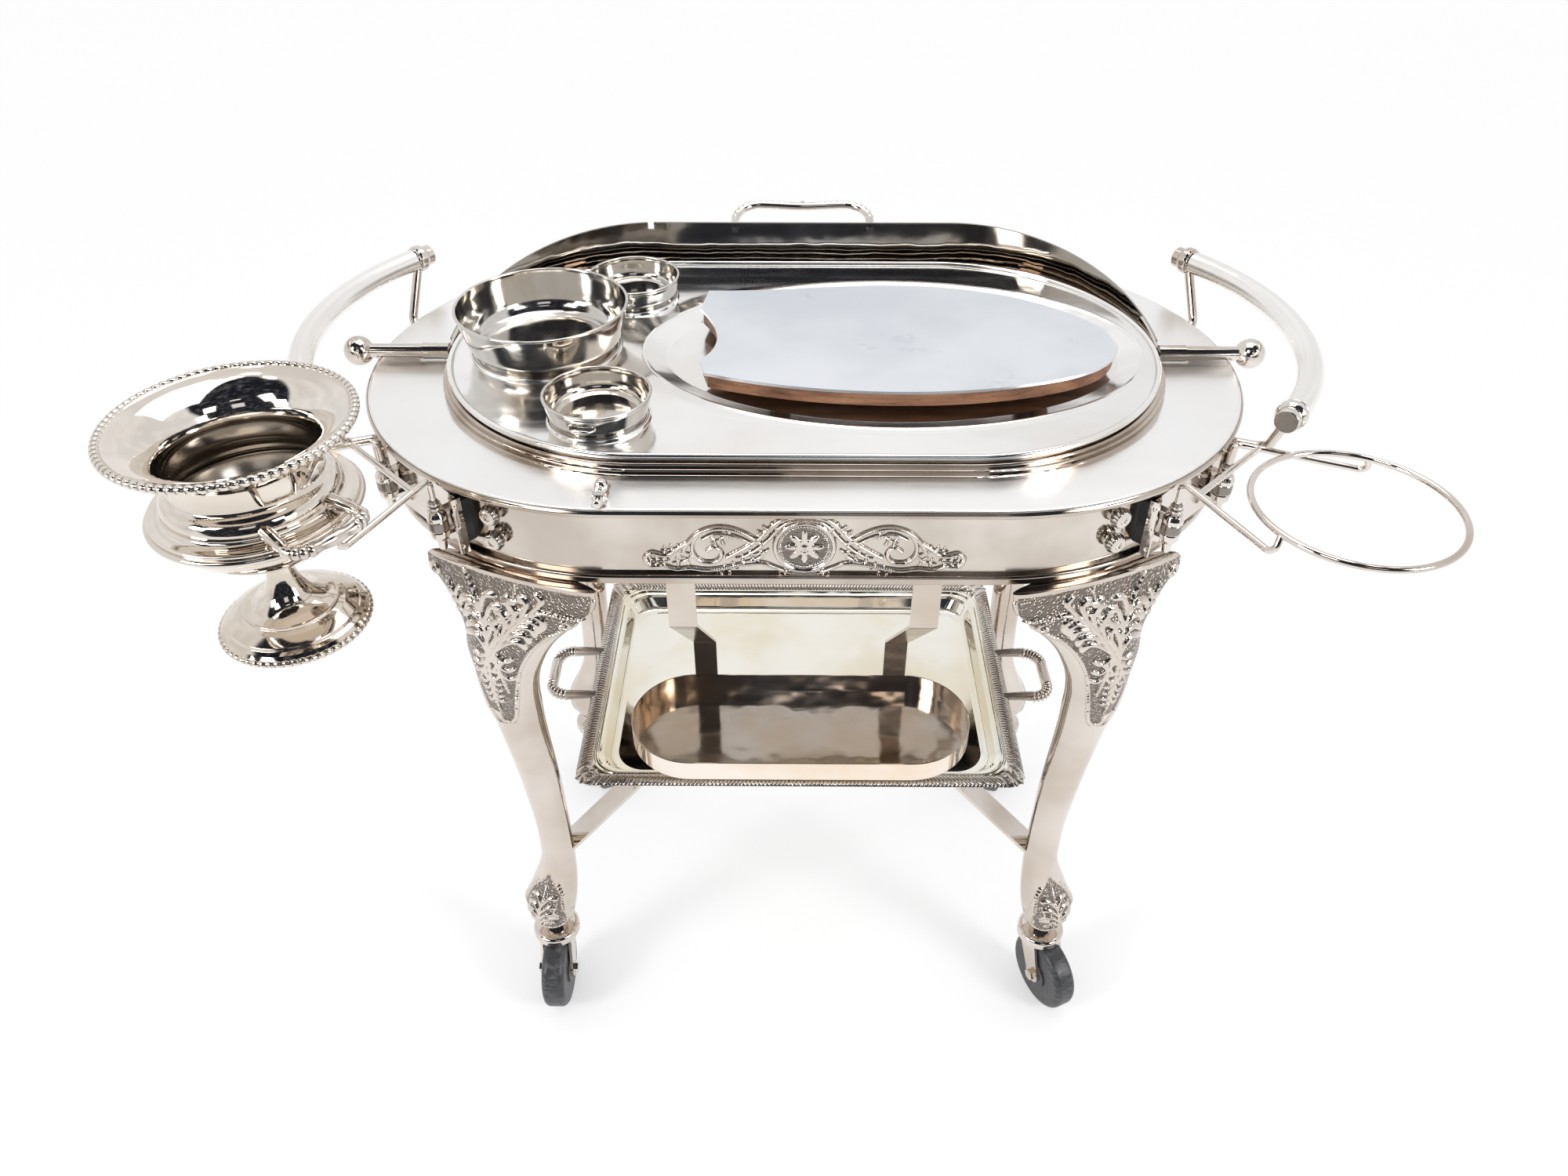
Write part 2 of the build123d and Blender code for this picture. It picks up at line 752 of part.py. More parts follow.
# Insert: a plate with a rolled edge, an oval meat well and three low rings for the bowls
with BuildPart() as insert_plate:
    with BuildSketch(Plane.XY.offset(insert_base)):
        stadium(well_straight, insert_radius)
    extrude(amount=insert_bead)
    fillet(insert_plate.faces().sort_by(Axis.Z)[-1].edges(), bead_round)
    with BuildSketch(Plane.XY.offset(insert_top)):
        stadium(well_straight, insert_radius - insert_bead)
    extrude(amount=insert_bead, mode=Mode.SUBTRACT)
    for top, inset, mode in ((insert_base, 0, Mode.ADD), (insert_top, insert_sheet, Mode.SUBTRACT)):
        for depth, draw_in in ((meat_well_depth, meat_well_depth * meat_well_slope), (0, 0)):
            with BuildSketch(Plane(origin=(meat_well_x, 0, top - depth))):
                Ellipse(
                    meat_well_half_length - inset - draw_in,
                    meat_well_half_width - inset - draw_in,
                )
        loft(mode=mode)
    for place, flange in bowl_rings:
        with BuildSketch(Plane.XY.offset(insert_top)):
            with Locations(place):
                Circle(flange + part_gap + bowl_ring_wall)
                Circle(flange + part_gap, mode=Mode.SUBTRACT)
        extrude(amount=bowl_ring_height)
save(insert_plate.part, "insert_plate")

# Carving board: a wooden slab under a metal plate, on four feet in the meat well
well_floor = insert_top - meat_well_depth
board_base = well_floor + board_foot


def board_outline(inset):
    """A kidney outline with a notch in its left end, drawn in from its edge by the inset."""
    half_length = board_half_length - inset
    half_width = board_half_width - inset

    def points(shares):
        return [(board_x + x * half_length, board_y + y * half_width) for x, y in shares]

    with BuildLine() as outline:
        rear = Spline(*points(board_rear_shares))
        right = Line(rear @ 1, points(board_front_shares)[0])
        front = Spline(right @ 1, *points(board_front_shares)[1:])
        corner = Line(front @ 1, points(board_notch_shares)[0])
        notch = Spline(corner @ 1, *points(board_notch_shares)[1:])
        Line(notch @ 1, rear @ 0)
    make_face(outline.line.edges())


with BuildPart() as board_slab:
    with BuildSketch(Plane.XY.offset(board_base)):
        board_outline(board_inset)
    extrude(amount=board_wood)
    with BuildSketch(Plane.XY.offset(well_floor)):
        for x_side in (-1, 1):
            for y_side in (-1, 1):
                across_x = board_x + x_side * board_foot_x_share * board_half_length
                across_y = board_y + y_side * board_foot_y_share * board_half_width
                with Locations((across_x, across_y)):
                    Circle(board_foot_radius)
    extrude(amount=board_foot)
save(board_slab.part, "board_wood")

with BuildPart() as board_plate:
    with BuildSketch(Plane.XY.offset(board_base + board_wood)):
        board_outline(0)
    extrude(amount=board_metal)
save(board_plate.part, "board_plate")


# Bowls: turned shells on a flat flange that stands inside the insert's ring
def make_bowl(name, place, top, rim_share, body_share, flange, grips):
    rim = rim_share * insert_radius
    body = body_share * insert_radius
    inner_floor = insert_top + bowl_floor
    waist = body + bowl_waist_out * (rim - body)
    waist_z = inner_floor + bowl_waist_up * (top - inner_floor)
    plane = Plane(origin=(place[0], place[1], 0), x_dir=(1, 0, 0), z_dir=(0, -1, 0))
    with BuildPart() as bowl:
        with BuildSketch(plane):
            with BuildLine():
                foot = Polyline((0, insert_top), (flange, insert_top), (flange, inner_floor), (body, inner_floor))
                wall = Spline(foot @ 1, (waist, waist_z), (rim, top - bowl_lip))
                lip = Polyline(wall @ 1, (rim, top), (rim - bowl_wall, top))
                inside = Spline(lip @ 1, (waist - bowl_wall, waist_z), (body - bowl_wall, inner_floor))
                Polyline(inside @ 1, (0, inner_floor), (0, insert_top))
            make_face()
        revolve(axis=Axis((place[0], place[1], 0), (0, 0, 1)))
        if grips:
            mid = (inner_floor + top) / 2
            for side in (-1, 1):
                turn = radians(bowl_grip_turn) if side > 0 else radians(bowl_grip_turn + 180)
                out = Vector(cos(turn), sin(turn), 0)
                along = Vector(-sin(turn), cos(turn), 0)
                centre = Vector(place[0], place[1], mid)
                loop = [
                    centre + out * (waist - bowl_wall) - along * bowl_grip_half,
                    centre + out * (body + bowl_grip_reach) - along * bowl_grip_half,
                    centre + out * (body + bowl_grip_reach) + along * bowl_grip_half,
                    centre + out * (waist - bowl_wall) + along * bowl_grip_half,
                ]
                rod(loop, bowl_grip_radius, bowl_grip_half / 2)
    save(bowl.part, name)


make_bowl(
    "bowl_large", big_bowl_place, big_bowl_top,
    big_bowl_radius_share, big_bowl_body_share, big_bowl_flange, False,
)
for name, place in zip(("bowl_small_front", "bowl_small_rear"), small_bowl_places):
    make_bowl(
        name, place, small_bowl_top,
        small_bowl_radius_share, small_bowl_body_share, small_bowl_flange, True,
    )

# Push handles: a bowed tube at each end, with end fittings and two arms to the body
fittings = []
with BuildPart() as body_core:
    with BuildSketch(Plane.XY.offset(skirt_bottom)):
        stadium(plan_straight, skirt_radius)
    extrude(amount=deck_top - skirt_bottom)


def make_grip(name, side):
    with BuildPart() as tube:
        with BuildLine() as bow:
            ThreePointArc(
                (side * grip_end_x, -grip_end_y, grip_z),
                (side * grip_middle_x, 0, grip_z),
                (side * grip_end_x, grip_end_y, grip_z),
            )
        with BuildSketch(Plane(origin=bow.line @ 0, z_dir=bow.line % 0)):
            Circle(grip_radius)
        sweep(path=bow.line)
    save(tube.part, name)
    fittings.append((bow.line @ 0, bow.line % 0 * -1))
    fittings.append((bow.line @ 1, bow.line % 1))
    return tube.part


tubes = (make_grip("push_handle_left", -1), make_grip("push_handle_right", 1))

with BuildPart() as handle_fittings:
    for end, way in fittings:
        with BuildSketch(Plane(origin=end, z_dir=way)):
            Circle(fitting_radius)
        extrude(amount=fitting_length)
        with BuildSketch(Plane(origin=end + way * fitting_length, z_dir=way)):
            Circle(stub_radius)
        extrude(amount=stub_length)
save(handle_fittings.part, "handle_fittings")

with BuildPart() as handle_arms:
    for end, way in fittings:
        head = end + way * (fitting_length / 2)
        side = 1 if head.X > 0 else -1
        front = 1 if head.Y > 0 else -1
        centre = Vector(side * plan_straight, 0, 0)
        away = Vector(side * cos(radians(arm_angle)), front * sin(radians(arm_angle)), 0)
        run = [
            head,
            centre + away * arm_turn_out + Vector(0, 0, arm_turn_z),
            centre + away * (skirt_radius - skirt_wall) + Vector(0, 0, arm_root_z),
        ]
        rod(run, arm_radius, arm_bend)
    add((handle_fittings.part, *tubes, body_core.part), mode=Mode.SUBTRACT)
save(handle_arms.part, "handle_arms")


# Ring holders: a flat plate on two rubber pads, with two barrels for the ring's pins
def make_bracket(name, side):
    height = bracket_high - bracket_low
    with BuildPart() as bracket:
        with BuildSketch(corner_frame(side, bracket_out, 0, bracket_low)):
            with Locations((bracket_plate / 2, 0)):
                Rectangle(bracket_plate, 2 * bracket_half_length)
            for end in (-1, 1):
                flange_y = end * (bracket_half_length - bracket_plate / 2)
                with Locations((bracket_flange / 2, flange_y)):
                    Rectangle(bracket_flange, bracket_plate)
        extrude(amount=height)
    save(bracket.part, name)


make_bracket("bracket_left", -1)
make_bracket("bracket_right", 1)

with BuildPart() as bracket_pads:
    for side in (-1, 1):
        pad_base = (bracket_low + bracket_high - pad_height) / 2
        with BuildSketch(corner_frame(side, bracket_out, 0, pad_base)):
            with Locations((-pad_width / 2, -pad_along), (-pad_width / 2, pad_along)):
                Rectangle(pad_width, pad_width)
        extrude(amount=pad_height)
    add(body_core.part, mode=Mode.SUBTRACT)
save(bracket_pads.part, "bracket_pads")


def make_barrels(name, side):
    with BuildPart() as barrels:
        for end in (-1, 1):
            base = corner_frame(side, barrel_out, end * barrel_along, 0)
            upright = Plane(origin=base.origin, x_dir=base.x_dir, z_dir=-base.y_dir)
            middle = (barrel_low + barrel_high) / 2
            with BuildSketch(upright):
                with BuildLine():
                    Polyline(
                        (0, barrel_low - barrel_tip),
                        (ring_pin_radius, barrel_low - barrel_tip),
                        (barrel_neck_radius, barrel_low),
                        (barrel_neck_radius, barrel_low + barrel_waist),
                        (barrel_radius, barrel_low + barrel_waist),
                        (barrel_radius, middle - barrel_waist),
                        (barrel_radius - barrel_groove, middle),
                        (barrel_radius, middle + barrel_waist),
                        (barrel_radius, barrel_high - barrel_waist),
                        (barrel_neck_radius, barrel_high - barrel_waist),
                        (barrel_neck_radius, barrel_high),
                        (0, barrel_high),
                        close=True,
                    )
                make_face()
            revolve(axis=Axis(base.origin, (0, 0, 1)))
            web_depth = barrel_out - bracket_out - bracket_plate
            with BuildSketch(corner_frame(side, barrel_out, end * barrel_along, barrel_low + barrel_waist)):
                with Locations((-web_depth / 2, 0)):
                    Rectangle(web_depth, barrel_radius)
            extrude(amount=barrel_high - barrel_low - 2 * barrel_waist)
            with BuildSketch(base.offset(barrel_low)):
                Circle(ring_pin_radius + bearing_gap)
            extrude(amount=barrel_high - barrel_low, mode=Mode.SUBTRACT)
    save(barrels.part, name)


make_barrels("pin_barrels_left", -1)
make_barrels("pin_barrels_right", 1)

with BuildPart() as bracket_screws:
    for side in (-1, 1):
        face = corner_frame(side, bracket_out + bracket_plate, 0, (bracket_low + bracket_high) / 2)
        for end in (-1, 1):
            with BuildSketch(Plane(origin=face.from_local_coords(Vector(0, end * bracket_screw_along, 0)),
                                   z_dir=face.x_dir)):
                Circle(bracket_screw_radius)
            extrude(amount=screw_head_height)
save(bracket_screws.part, "bracket_screws")

# Thumb nuts on the front of the skirt
with BuildPart() as thumb_nuts:
    for side in (-1, 1):
        way = Vector(side * cos(radians(nut_angle)), -sin(radians(nut_angle)), 0)
        for height in nut_heights:
            foot = Vector(side * plan_straight, 0, height) + way * (skirt_radius - overrun)
            seat = Plane(origin=foot, z_dir=way)
            with BuildSketch(seat):
                Circle(nut_washer_radius)
            extrude(amount=overrun + nut_washer)
            with BuildSketch(seat.offset(overrun + nut_washer)):
                Circle(nut_radius)
            extrude(amount=nut_length)
            fillet(thumb_nuts.faces().sort_by_distance(foot + way * room)[0].edges(), nut_round)
    add(body_core.part, mode=Mode.SUBTRACT)
save(thumb_nuts.part, "thumb_nuts")


# Lift-off ring frames: two pinned rods, a cross bar and the ring on its hooks
def make_ring_frame(name, side):
    with BuildPart() as frame:
        for end in (-1, 1):
            turn = radians(ring_hook_turn)
            local = [
                (barrel_out, end * barrel_along, barrel_low),
                (barrel_out, end * barrel_along, ring_rod_z),
                (ring_hook_out, end * ring_hook_along, ring_rod_z),
                (ring_out - ring_radius * cos(turn), end * ring_radius * sin(turn), ring_z),
            ]
            run = [corner_frame(side, *p).origin for p in local]
            rod(run, ring_pin_radius, ring_bend)
        spread = (ring_bar_out - barrel_out) / (ring_hook_out - barrel_out)
        reach = barrel_along + spread * (ring_hook_along - barrel_along)
        bar = [corner_frame(side, ring_bar_out, end * reach, ring_rod_z).origin for end in (-1, 1)]
        with BuildSketch(Plane(origin=bar[0], z_dir=bar[1] - bar[0])):
            Circle(ring_pin_radius)
        extrude(amount=2 * reach)
        hub = corner_frame(side, ring_out, 0, ring_z)
        upright = Plane(origin=hub.origin, x_dir=hub.x_dir, z_dir=-hub.y_dir)
        with BuildSketch(upright):
            with Locations((ring_radius, 0)):
                Circle(ring_pin_radius)
        revolve(axis=Axis(hub.origin, (0, 0, 1)))
    save(frame.part, name)


make_ring_frame("ring_frame_left", -1)
make_ring_frame("ring_frame_right", 1)

# Wine cooler: flared body, stem with foot, and two loop handles
urn_place = corner_frame(-1, ring_out, 0, 0).origin
urn_axis = Axis(urn_place, (0, 0, 1))
urn_plane = Plane(origin=urn_place, x_dir=(1, 0, 0), z_dir=(0, -1, 0))
belly_z = ring_z + ring_pin_radius


def urn_side(inset):
    """The cup's side from its floor, past the belly, to the rim, drawn in by the inset."""
    cup_height = urn_top - belly_z
    below = [
        (across * urn_belly_radius - inset, urn_stem_z + up * (belly_z - urn_stem_z) + inset)
        for across, up in urn_under_shares
    ]
    below.append((urn_belly_radius - urn_ledge - inset, belly_z + inset))
    above = [
        (urn_neck_radius + across * (urn_rim_radius - urn_neck_radius) - inset, belly_z + up * cup_height)
        for across, up in urn_side_shares
    ]
    return below, (urn_belly_radius - inset, belly_z + inset), above


with BuildPart() as urn_body:
    with BuildSketch(urn_plane):
        with BuildLine():
            below, belly, above = urn_side(0)
            Line((0, urn_stem_z), below[0])
            under = Spline(*below)
            band = Polyline(under @ 1, belly, (belly[0], belly[1] + urn_lip))
            side = Spline(band @ 1, *above)
            lip = Polyline(side @ 1, (urn_rim_radius, urn_top), (above[-1][0] - urn_wall, urn_top))
            below, belly, above = urn_side(urn_wall)
            inside = Spline(lip @ 1, *above[-2::-1], (belly[0], belly_z + urn_lip - urn_wall))
            step = Polyline(inside @ 1, belly, below[-1])
            floor = Spline(*below[::-1])
            Polyline(floor @ 1, (0, urn_stem_z + urn_wall), (0, urn_stem_z))
        make_face()
    revolve(axis=urn_axis)
save(urn_body.part, "urn_body")

with BuildPart() as urn_foot:
    foot_height = urn_stem_z - urn_foot_z - urn_foot_edge
    dome_points = [
        (urn_stem_radius + across * (urn_foot_radius - urn_stem_radius),
         urn_foot_z + urn_foot_edge + up * foot_height)
        for across, up in urn_foot_shares
    ]
    with BuildSketch(urn_plane):
        with BuildLine():
            cap = Line((0, urn_stem_z), dome_points[0])
            sweep_out = Spline(cap @ 1, *dome_points[1:])
            Polyline(
                sweep_out @ 1,
                (urn_foot_radius, urn_foot_z + urn_foot_edge),
                (urn_foot_radius, urn_foot_z),
                (0, urn_foot_z),
                (0, urn_stem_z),
            )
        make_face()
    revolve(axis=urn_axis)
save(urn_foot.part, "urn_foot")

with BuildPart() as urn_handles:
    for side in (0, 1):
        turn = radians(urn_grip_turn + 180 * side)
        out = Vector(cos(turn), sin(turn), 0)
        along = Vector(-sin(turn), cos(turn), 0)
        centre = Vector(urn_place.X, urn_place.Y, urn_grip_z)
        near = out * (urn_neck_radius + urn_lip)
        far = out * (urn_belly_radius + urn_grip_reach)
        loop = [
            centre + near - along * urn_grip_half,
            centre + far - along * urn_grip_half,
            centre + far + along * urn_grip_half,
            centre + near + along * urn_grip_half,
        ]
        rod(loop, urn_grip_radius, urn_grip_half / 2)
    add(urn_body.part, mode=Mode.SUBTRACT)
    with BuildSketch(urn_plane):
        with Locations((urn_belly_radius / 2 - urn_lip, urn_grip_z)):
            Rectangle(urn_belly_radius - 2 * urn_lip, urn_height_band)
    revolve(axis=urn_axis, mode=Mode.SUBTRACT)
save(urn_handles.part, "urn_handles")

# Serving tray on the stretchers: a flared pan, a heavy border and two end handles
tray_depth = tray_rim_z - tray_floor_z


def tray_plan(inset, corner):
    """The tray's plan drawn in by the inset, inside a sketch."""
    with Locations((0, tray_y)):
        RectangleRounded(2 * (tray_half_length - inset), 2 * (tray_half_width - inset), corner)


tray_floor_inset = tray_border + tray_depth * tan(radians(tray_flare))
with BuildPart() as tray_body:
    with BuildSketch(Plane.XY.offset(tray_floor_z)):
        tray_plan(tray_floor_inset, tray_well_corner)
    extrude(amount=tray_depth, taper=-tray_flare)
    with BuildSketch(Plane.XY.offset(tray_rim_z - tray_sheet)):
        tray_plan(tray_border / 2, tray_corner)
    extrude(amount=tray_sheet)
    with BuildSketch(Plane.XY.offset(tray_floor_z + tray_sheet)):
        tray_plan(tray_floor_inset + tray_sheet, tray_well_corner)
    extrude(amount=tray_depth, taper=-tray_flare, mode=Mode.SUBTRACT)
save(tray_body.part, "tray_body")

with BuildPart() as tray_rim:
    with BuildSketch(Plane.XY.offset(tray_rim_z - tray_border_height / 2)):
        tray_plan(0, tray_corner)
    extrude(amount=tray_border_height)
    fillet(tray_rim.edges(), tray_border_round)
    with BuildSketch(Plane.XY.offset(tray_rim_z - tray_border_height / 2)):
        tray_plan(tray_border - tray_sheet, tray_well_corner)
    extrude(amount=tray_border_height, mode=Mode.SUBTRACT)
    add(tray_body.part, mode=Mode.SUBTRACT)
save(tray_rim.part, "tray_border")

with BuildPart() as tray_handles:
    for side in (-1, 1):
        loop = [
            (side * (tray_half_length - tray_border_round), tray_y - tray_grip_half, tray_rim_z),
            (side * (tray_half_length + tray_grip_reach), tray_y - tray_grip_half, tray_rim_z),
            (side * (tray_half_length + tray_grip_reach), tray_y + tray_grip_half, tray_rim_z),
            (side * (tray_half_length - tray_border_round), tray_y + tray_grip_half, tray_rim_z),
        ]
        rod(loop, tray_grip_radius, tray_grip_corner)
    with BuildSketch(Plane.XY.offset(tray_floor_z)):
        tray_plan(0, tray_corner)
    extrude(amount=2 * tray_depth, mode=Mode.SUBTRACT)
save(tray_handles.part, "tray_handles")

# Front ornament: a symmetrical relief plate with a round medallion
outline = [
    (across * ornament_half_length, ornament_low + up * ornament_height)
    for across, up in ornament_outline_shares
]
with BuildPart() as front_ornament:
    with BuildSketch(Plane.XZ.offset(skirt_radius)):
        with BuildLine():
            right = Spline(*outline)
            left = Spline(*[(-x, z) for x, z in outline])
            Line(right @ 1, left @ 1)
            Line(right @ 0, left @ 0)
        make_face()
    extrude(amount=ornament_thickness)
    with BuildSketch(Plane.XZ.offset(skirt_radius)):
        with Locations((0, medallion_z)):
            Circle(medallion_radius)
    extrude(amount=medallion_thickness)
save(front_ornament.part, "front_ornament")


# Casters: a swivelling fork, its axle and its wheel
def make_caster(corner, side, front, turn):
    """The fork trails towards -Y before its turn about the stem."""
    origin = (side * leg_foot_x, front * leg_foot_y, 0)
    trail = Vector(sin(radians(turn)), -cos(radians(turn)), 0)
    across = Vector(cos(radians(turn)), sin(radians(turn)), 0)
    wheel_centre = Vector(*origin) + trail * caster_trail + Vector(0, 0, axle_z)
    crown_top = leg_foot_z - part_gap
    neck_base = crown_base + caster_crown
    with BuildPart() as fork:
        with BuildSketch(Plane(origin=origin).offset(crown_base)):
            Circle(caster_crown_radius)
        extrude(amount=caster_crown)
        fillet(fork.faces().sort_by(Axis.Z)[-1].edges(), caster_crown_round)
        with BuildSketch(Plane(origin=origin).offset(neck_base)):
            Circle(caster_neck_radius)
        extrude(amount=crown_top - neck_base)
        with BuildSketch(Plane(origin=origin).offset(crown_top)):
            Circle(caster_stem_radius)
        extrude(amount=foot_bore_depth)
        for end in (-1, 1):
            face = Vector(*origin) + across * (end * hub_width / 2 + end * part_gap)
            cheek = Plane(origin=face, x_dir=trail, z_dir=across * end)
            up = 1 if cheek.y_dir.Z > 0 else -1
            with BuildSketch(cheek):
                with BuildLine():
                    Polyline(
                        (-fork_half_width, up * crown_base),
                        (caster_trail - fork_eye_radius, up * axle_z),
                        (caster_trail + fork_eye_radius, up * axle_z),
                        (fork_half_width, up * crown_base),
                        close=True,
                    )
                make_face()
                with Locations((caster_trail, up * axle_z)):
                    Circle(fork_eye_radius)
            extrude(amount=fork_plate)
        with BuildSketch(Plane(origin=wheel_centre - across * wheel_radius, z_dir=across)):
            Circle(axle_radius + bearing_gap)
        extrude(amount=2 * wheel_radius, mode=Mode.SUBTRACT)
    save(fork.part, f"caster_fork_{corner}")

    half_axle = hub_width / 2 + part_gap + fork_plate
    with BuildPart() as axle:
        for end in (-1, 1):
            with BuildSketch(Plane(origin=wheel_centre, z_dir=across * end)):
                Circle(axle_radius)
            extrude(amount=half_axle + axle_head)
            with BuildSketch(Plane(origin=wheel_centre + across * (end * half_axle), z_dir=across * end)):
                RegularPolygon(axle_head_radius, 6)
            extrude(amount=axle_head)
    save(axle.part, f"caster_axle_{corner}")

    with BuildPart() as wheel:
        with BuildSketch(Plane(origin=wheel_centre - across * (wheel_width / 2), z_dir=across)):
            Circle(wheel_radius)
        extrude(amount=wheel_width)
        fillet(wheel.edges(), wheel_round)
        with BuildSketch(Plane(origin=wheel_centre - across * (hub_width / 2), z_dir=across)):
            Circle(hub_radius)
        extrude(amount=hub_width)
        with BuildSketch(Plane(origin=wheel_centre - across * (hub_width / 2), z_dir=across)):
            Circle(axle_radius + bearing_gap)
        extrude(amount=hub_width, mode=Mode.SUBTRACT)
    save(wheel.part, f"caster_wheel_{corner}")


make_caster("front_left", -1, -1, front_caster_turn[0])
make_caster("front_right", 1, -1, front_caster_turn[1])
make_caster("rear_left", -1, 1, rear_caster_turn[0])
make_caster("rear_right", 1, 1, rear_caster_turn[1])
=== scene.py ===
import json
from math import cos, pi, radians, sin

import bmesh
import bpy
import numpy as np
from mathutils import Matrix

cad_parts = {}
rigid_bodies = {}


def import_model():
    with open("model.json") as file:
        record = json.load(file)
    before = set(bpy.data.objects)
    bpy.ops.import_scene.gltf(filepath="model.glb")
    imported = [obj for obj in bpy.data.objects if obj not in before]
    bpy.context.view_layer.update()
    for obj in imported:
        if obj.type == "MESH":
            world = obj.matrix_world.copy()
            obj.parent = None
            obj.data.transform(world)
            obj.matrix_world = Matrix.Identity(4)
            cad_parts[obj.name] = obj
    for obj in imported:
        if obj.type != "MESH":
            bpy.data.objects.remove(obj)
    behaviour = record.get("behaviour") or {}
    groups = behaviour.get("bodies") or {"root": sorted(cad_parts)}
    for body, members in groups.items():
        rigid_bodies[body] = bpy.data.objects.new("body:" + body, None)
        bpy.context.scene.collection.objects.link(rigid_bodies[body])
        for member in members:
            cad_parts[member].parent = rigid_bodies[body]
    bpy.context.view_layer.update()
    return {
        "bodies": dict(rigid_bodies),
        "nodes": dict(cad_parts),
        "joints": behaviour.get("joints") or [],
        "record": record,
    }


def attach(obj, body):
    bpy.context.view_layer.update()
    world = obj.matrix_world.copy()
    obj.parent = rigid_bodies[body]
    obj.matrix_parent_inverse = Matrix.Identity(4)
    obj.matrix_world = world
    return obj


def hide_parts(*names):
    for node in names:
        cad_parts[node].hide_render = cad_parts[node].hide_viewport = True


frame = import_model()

# Lengths are written in millimetres, as in the CAD source, and leave for Blender in metres.
MM = 0.001

# Half the straight side of the deck's plan
PLAN_STRAIGHT = 174.0


# ---- Camera ----
camera_data = bpy.data.cameras.new("camera")
camera_data.sensor_width = 36.0
camera_data.lens = 26.03
camera = bpy.data.objects.new("camera", camera_data)
camera.location = (-0.01257, -1.08389, 1.410)
camera.rotation_euler = (radians(90 - 38.867), 0, radians(0.4128))
bpy.context.scene.collection.objects.link(camera)
bpy.context.scene.camera = camera


# ---- Shader maths ----
class Value:
    """A number or colour in a node tree; arithmetic on it adds the Math nodes it needs."""

    def __init__(self, net, socket):
        self.net, self.socket = net, socket

    def _math(self, operation, first, second):
        return self.net.add("ShaderNodeMath", {"operation": operation}, {0: first, 1: second})

    def __add__(self, other):
        return self._math("ADD", self, other)

    def __sub__(self, other):
        return self._math("SUBTRACT", self, other)

    def __rsub__(self, other):
        return self._math("SUBTRACT", other, self)

    def __mul__(self, other):
        return self._math("MULTIPLY", self, other)

    def __gt__(self, other):
        return self._math("GREATER_THAN", self, other)

    def __abs__(self):
        return self._math("ABSOLUTE", self, 0.0)

    __radd__ = __add__
    __rmul__ = __mul__


class Net:
    """A node tree of a material or world."""

    def __init__(self, owner):
        owner.use_nodes = True
        self.tree = owner.node_tree
        self.tree.nodes.clear()

    def add(self, kind, settings=None, inputs=None, output=0):
        """Adds a node: its settings first, then a value or link for each socket it names."""
        node = self.tree.nodes.new(kind)
        for key, value in (settings or {}).items():
            if key == "stops":
                ramp = node.color_ramp
                while len(ramp.elements) < len(value):
                    ramp.elements.new(0.5)
                for element, (place, colour) in zip(ramp.elements, value):
                    element.position = place
                    element.color = (*colour, 1)
            else:
                setattr(node, key, value)
        for key, value in (inputs or {}).items():
            if isinstance(value, Value):
                self.tree.links.new(value.socket, node.inputs[key])
            elif isinstance(value, tuple) and len(value) == 3 and node.inputs[key].type == "RGBA":
                node.inputs[key].default_value = (*value, 1)
            else:
                node.inputs[key].default_value = value
        if len(node.outputs) > output:
            return Value(self, node.outputs[output])
        return node

    def place(self):
        return self.add("ShaderNodeTexCoord", output=3)

    def stretch(self, vector, scale, turn=(0, 0, 0)):
        return self.add("ShaderNodeMapping", None, {"Vector": vector, "Scale": scale, "Rotation": turn})

    def noise(self, vector, scale, detail=3.0, roughness=0.5):
        sockets = {"Vector": vector, "Scale": scale, "Detail": detail, "Roughness": roughness}
        return self.add("ShaderNodeTexNoise", None, sockets)

    def ramp(self, factor, stops):
        return self.add("ShaderNodeValToRGB", {"stops": stops}, {"Fac": factor})

    def level(self, factor, low, high, to_low=0.0, to_high=1.0):
        """Maps low..high smoothly to to_low..to_high."""
        return self.add(
            "ShaderNodeMapRange",
            {"interpolation_type": "SMOOTHSTEP"},
            {"Value": factor, "From Min": low, "From Max": high, "To Min": to_low, "To Max": to_high},
        )

    def mix(self, factor, first, second, kind="MIX"):
        """Mixes two colours."""
        return self.add(
            "ShaderNodeMix", {"data_type": "RGBA", "blend_type": kind}, {
                0: factor, 6: first, 7: second,
            }, 2
        )

    def bump(self, height, distance, strength=1.0, normal=None):
        sockets = {"Height": height, "Distance": distance, "Strength": strength}
        if normal:
            sockets["Normal"] = normal
        return self.add("ShaderNodeBump", None, sockets)


def surface(name, build):
    """A material whose build function returns the sockets of its Principled shader."""
    material = bpy.data.materials.new(name)
    net = Net(material)
    shader = net.add("ShaderNodeBsdfPrincipled", None, build(net))
    net.add("ShaderNodeOutputMaterial", None, {"Surface": shader})
    return material


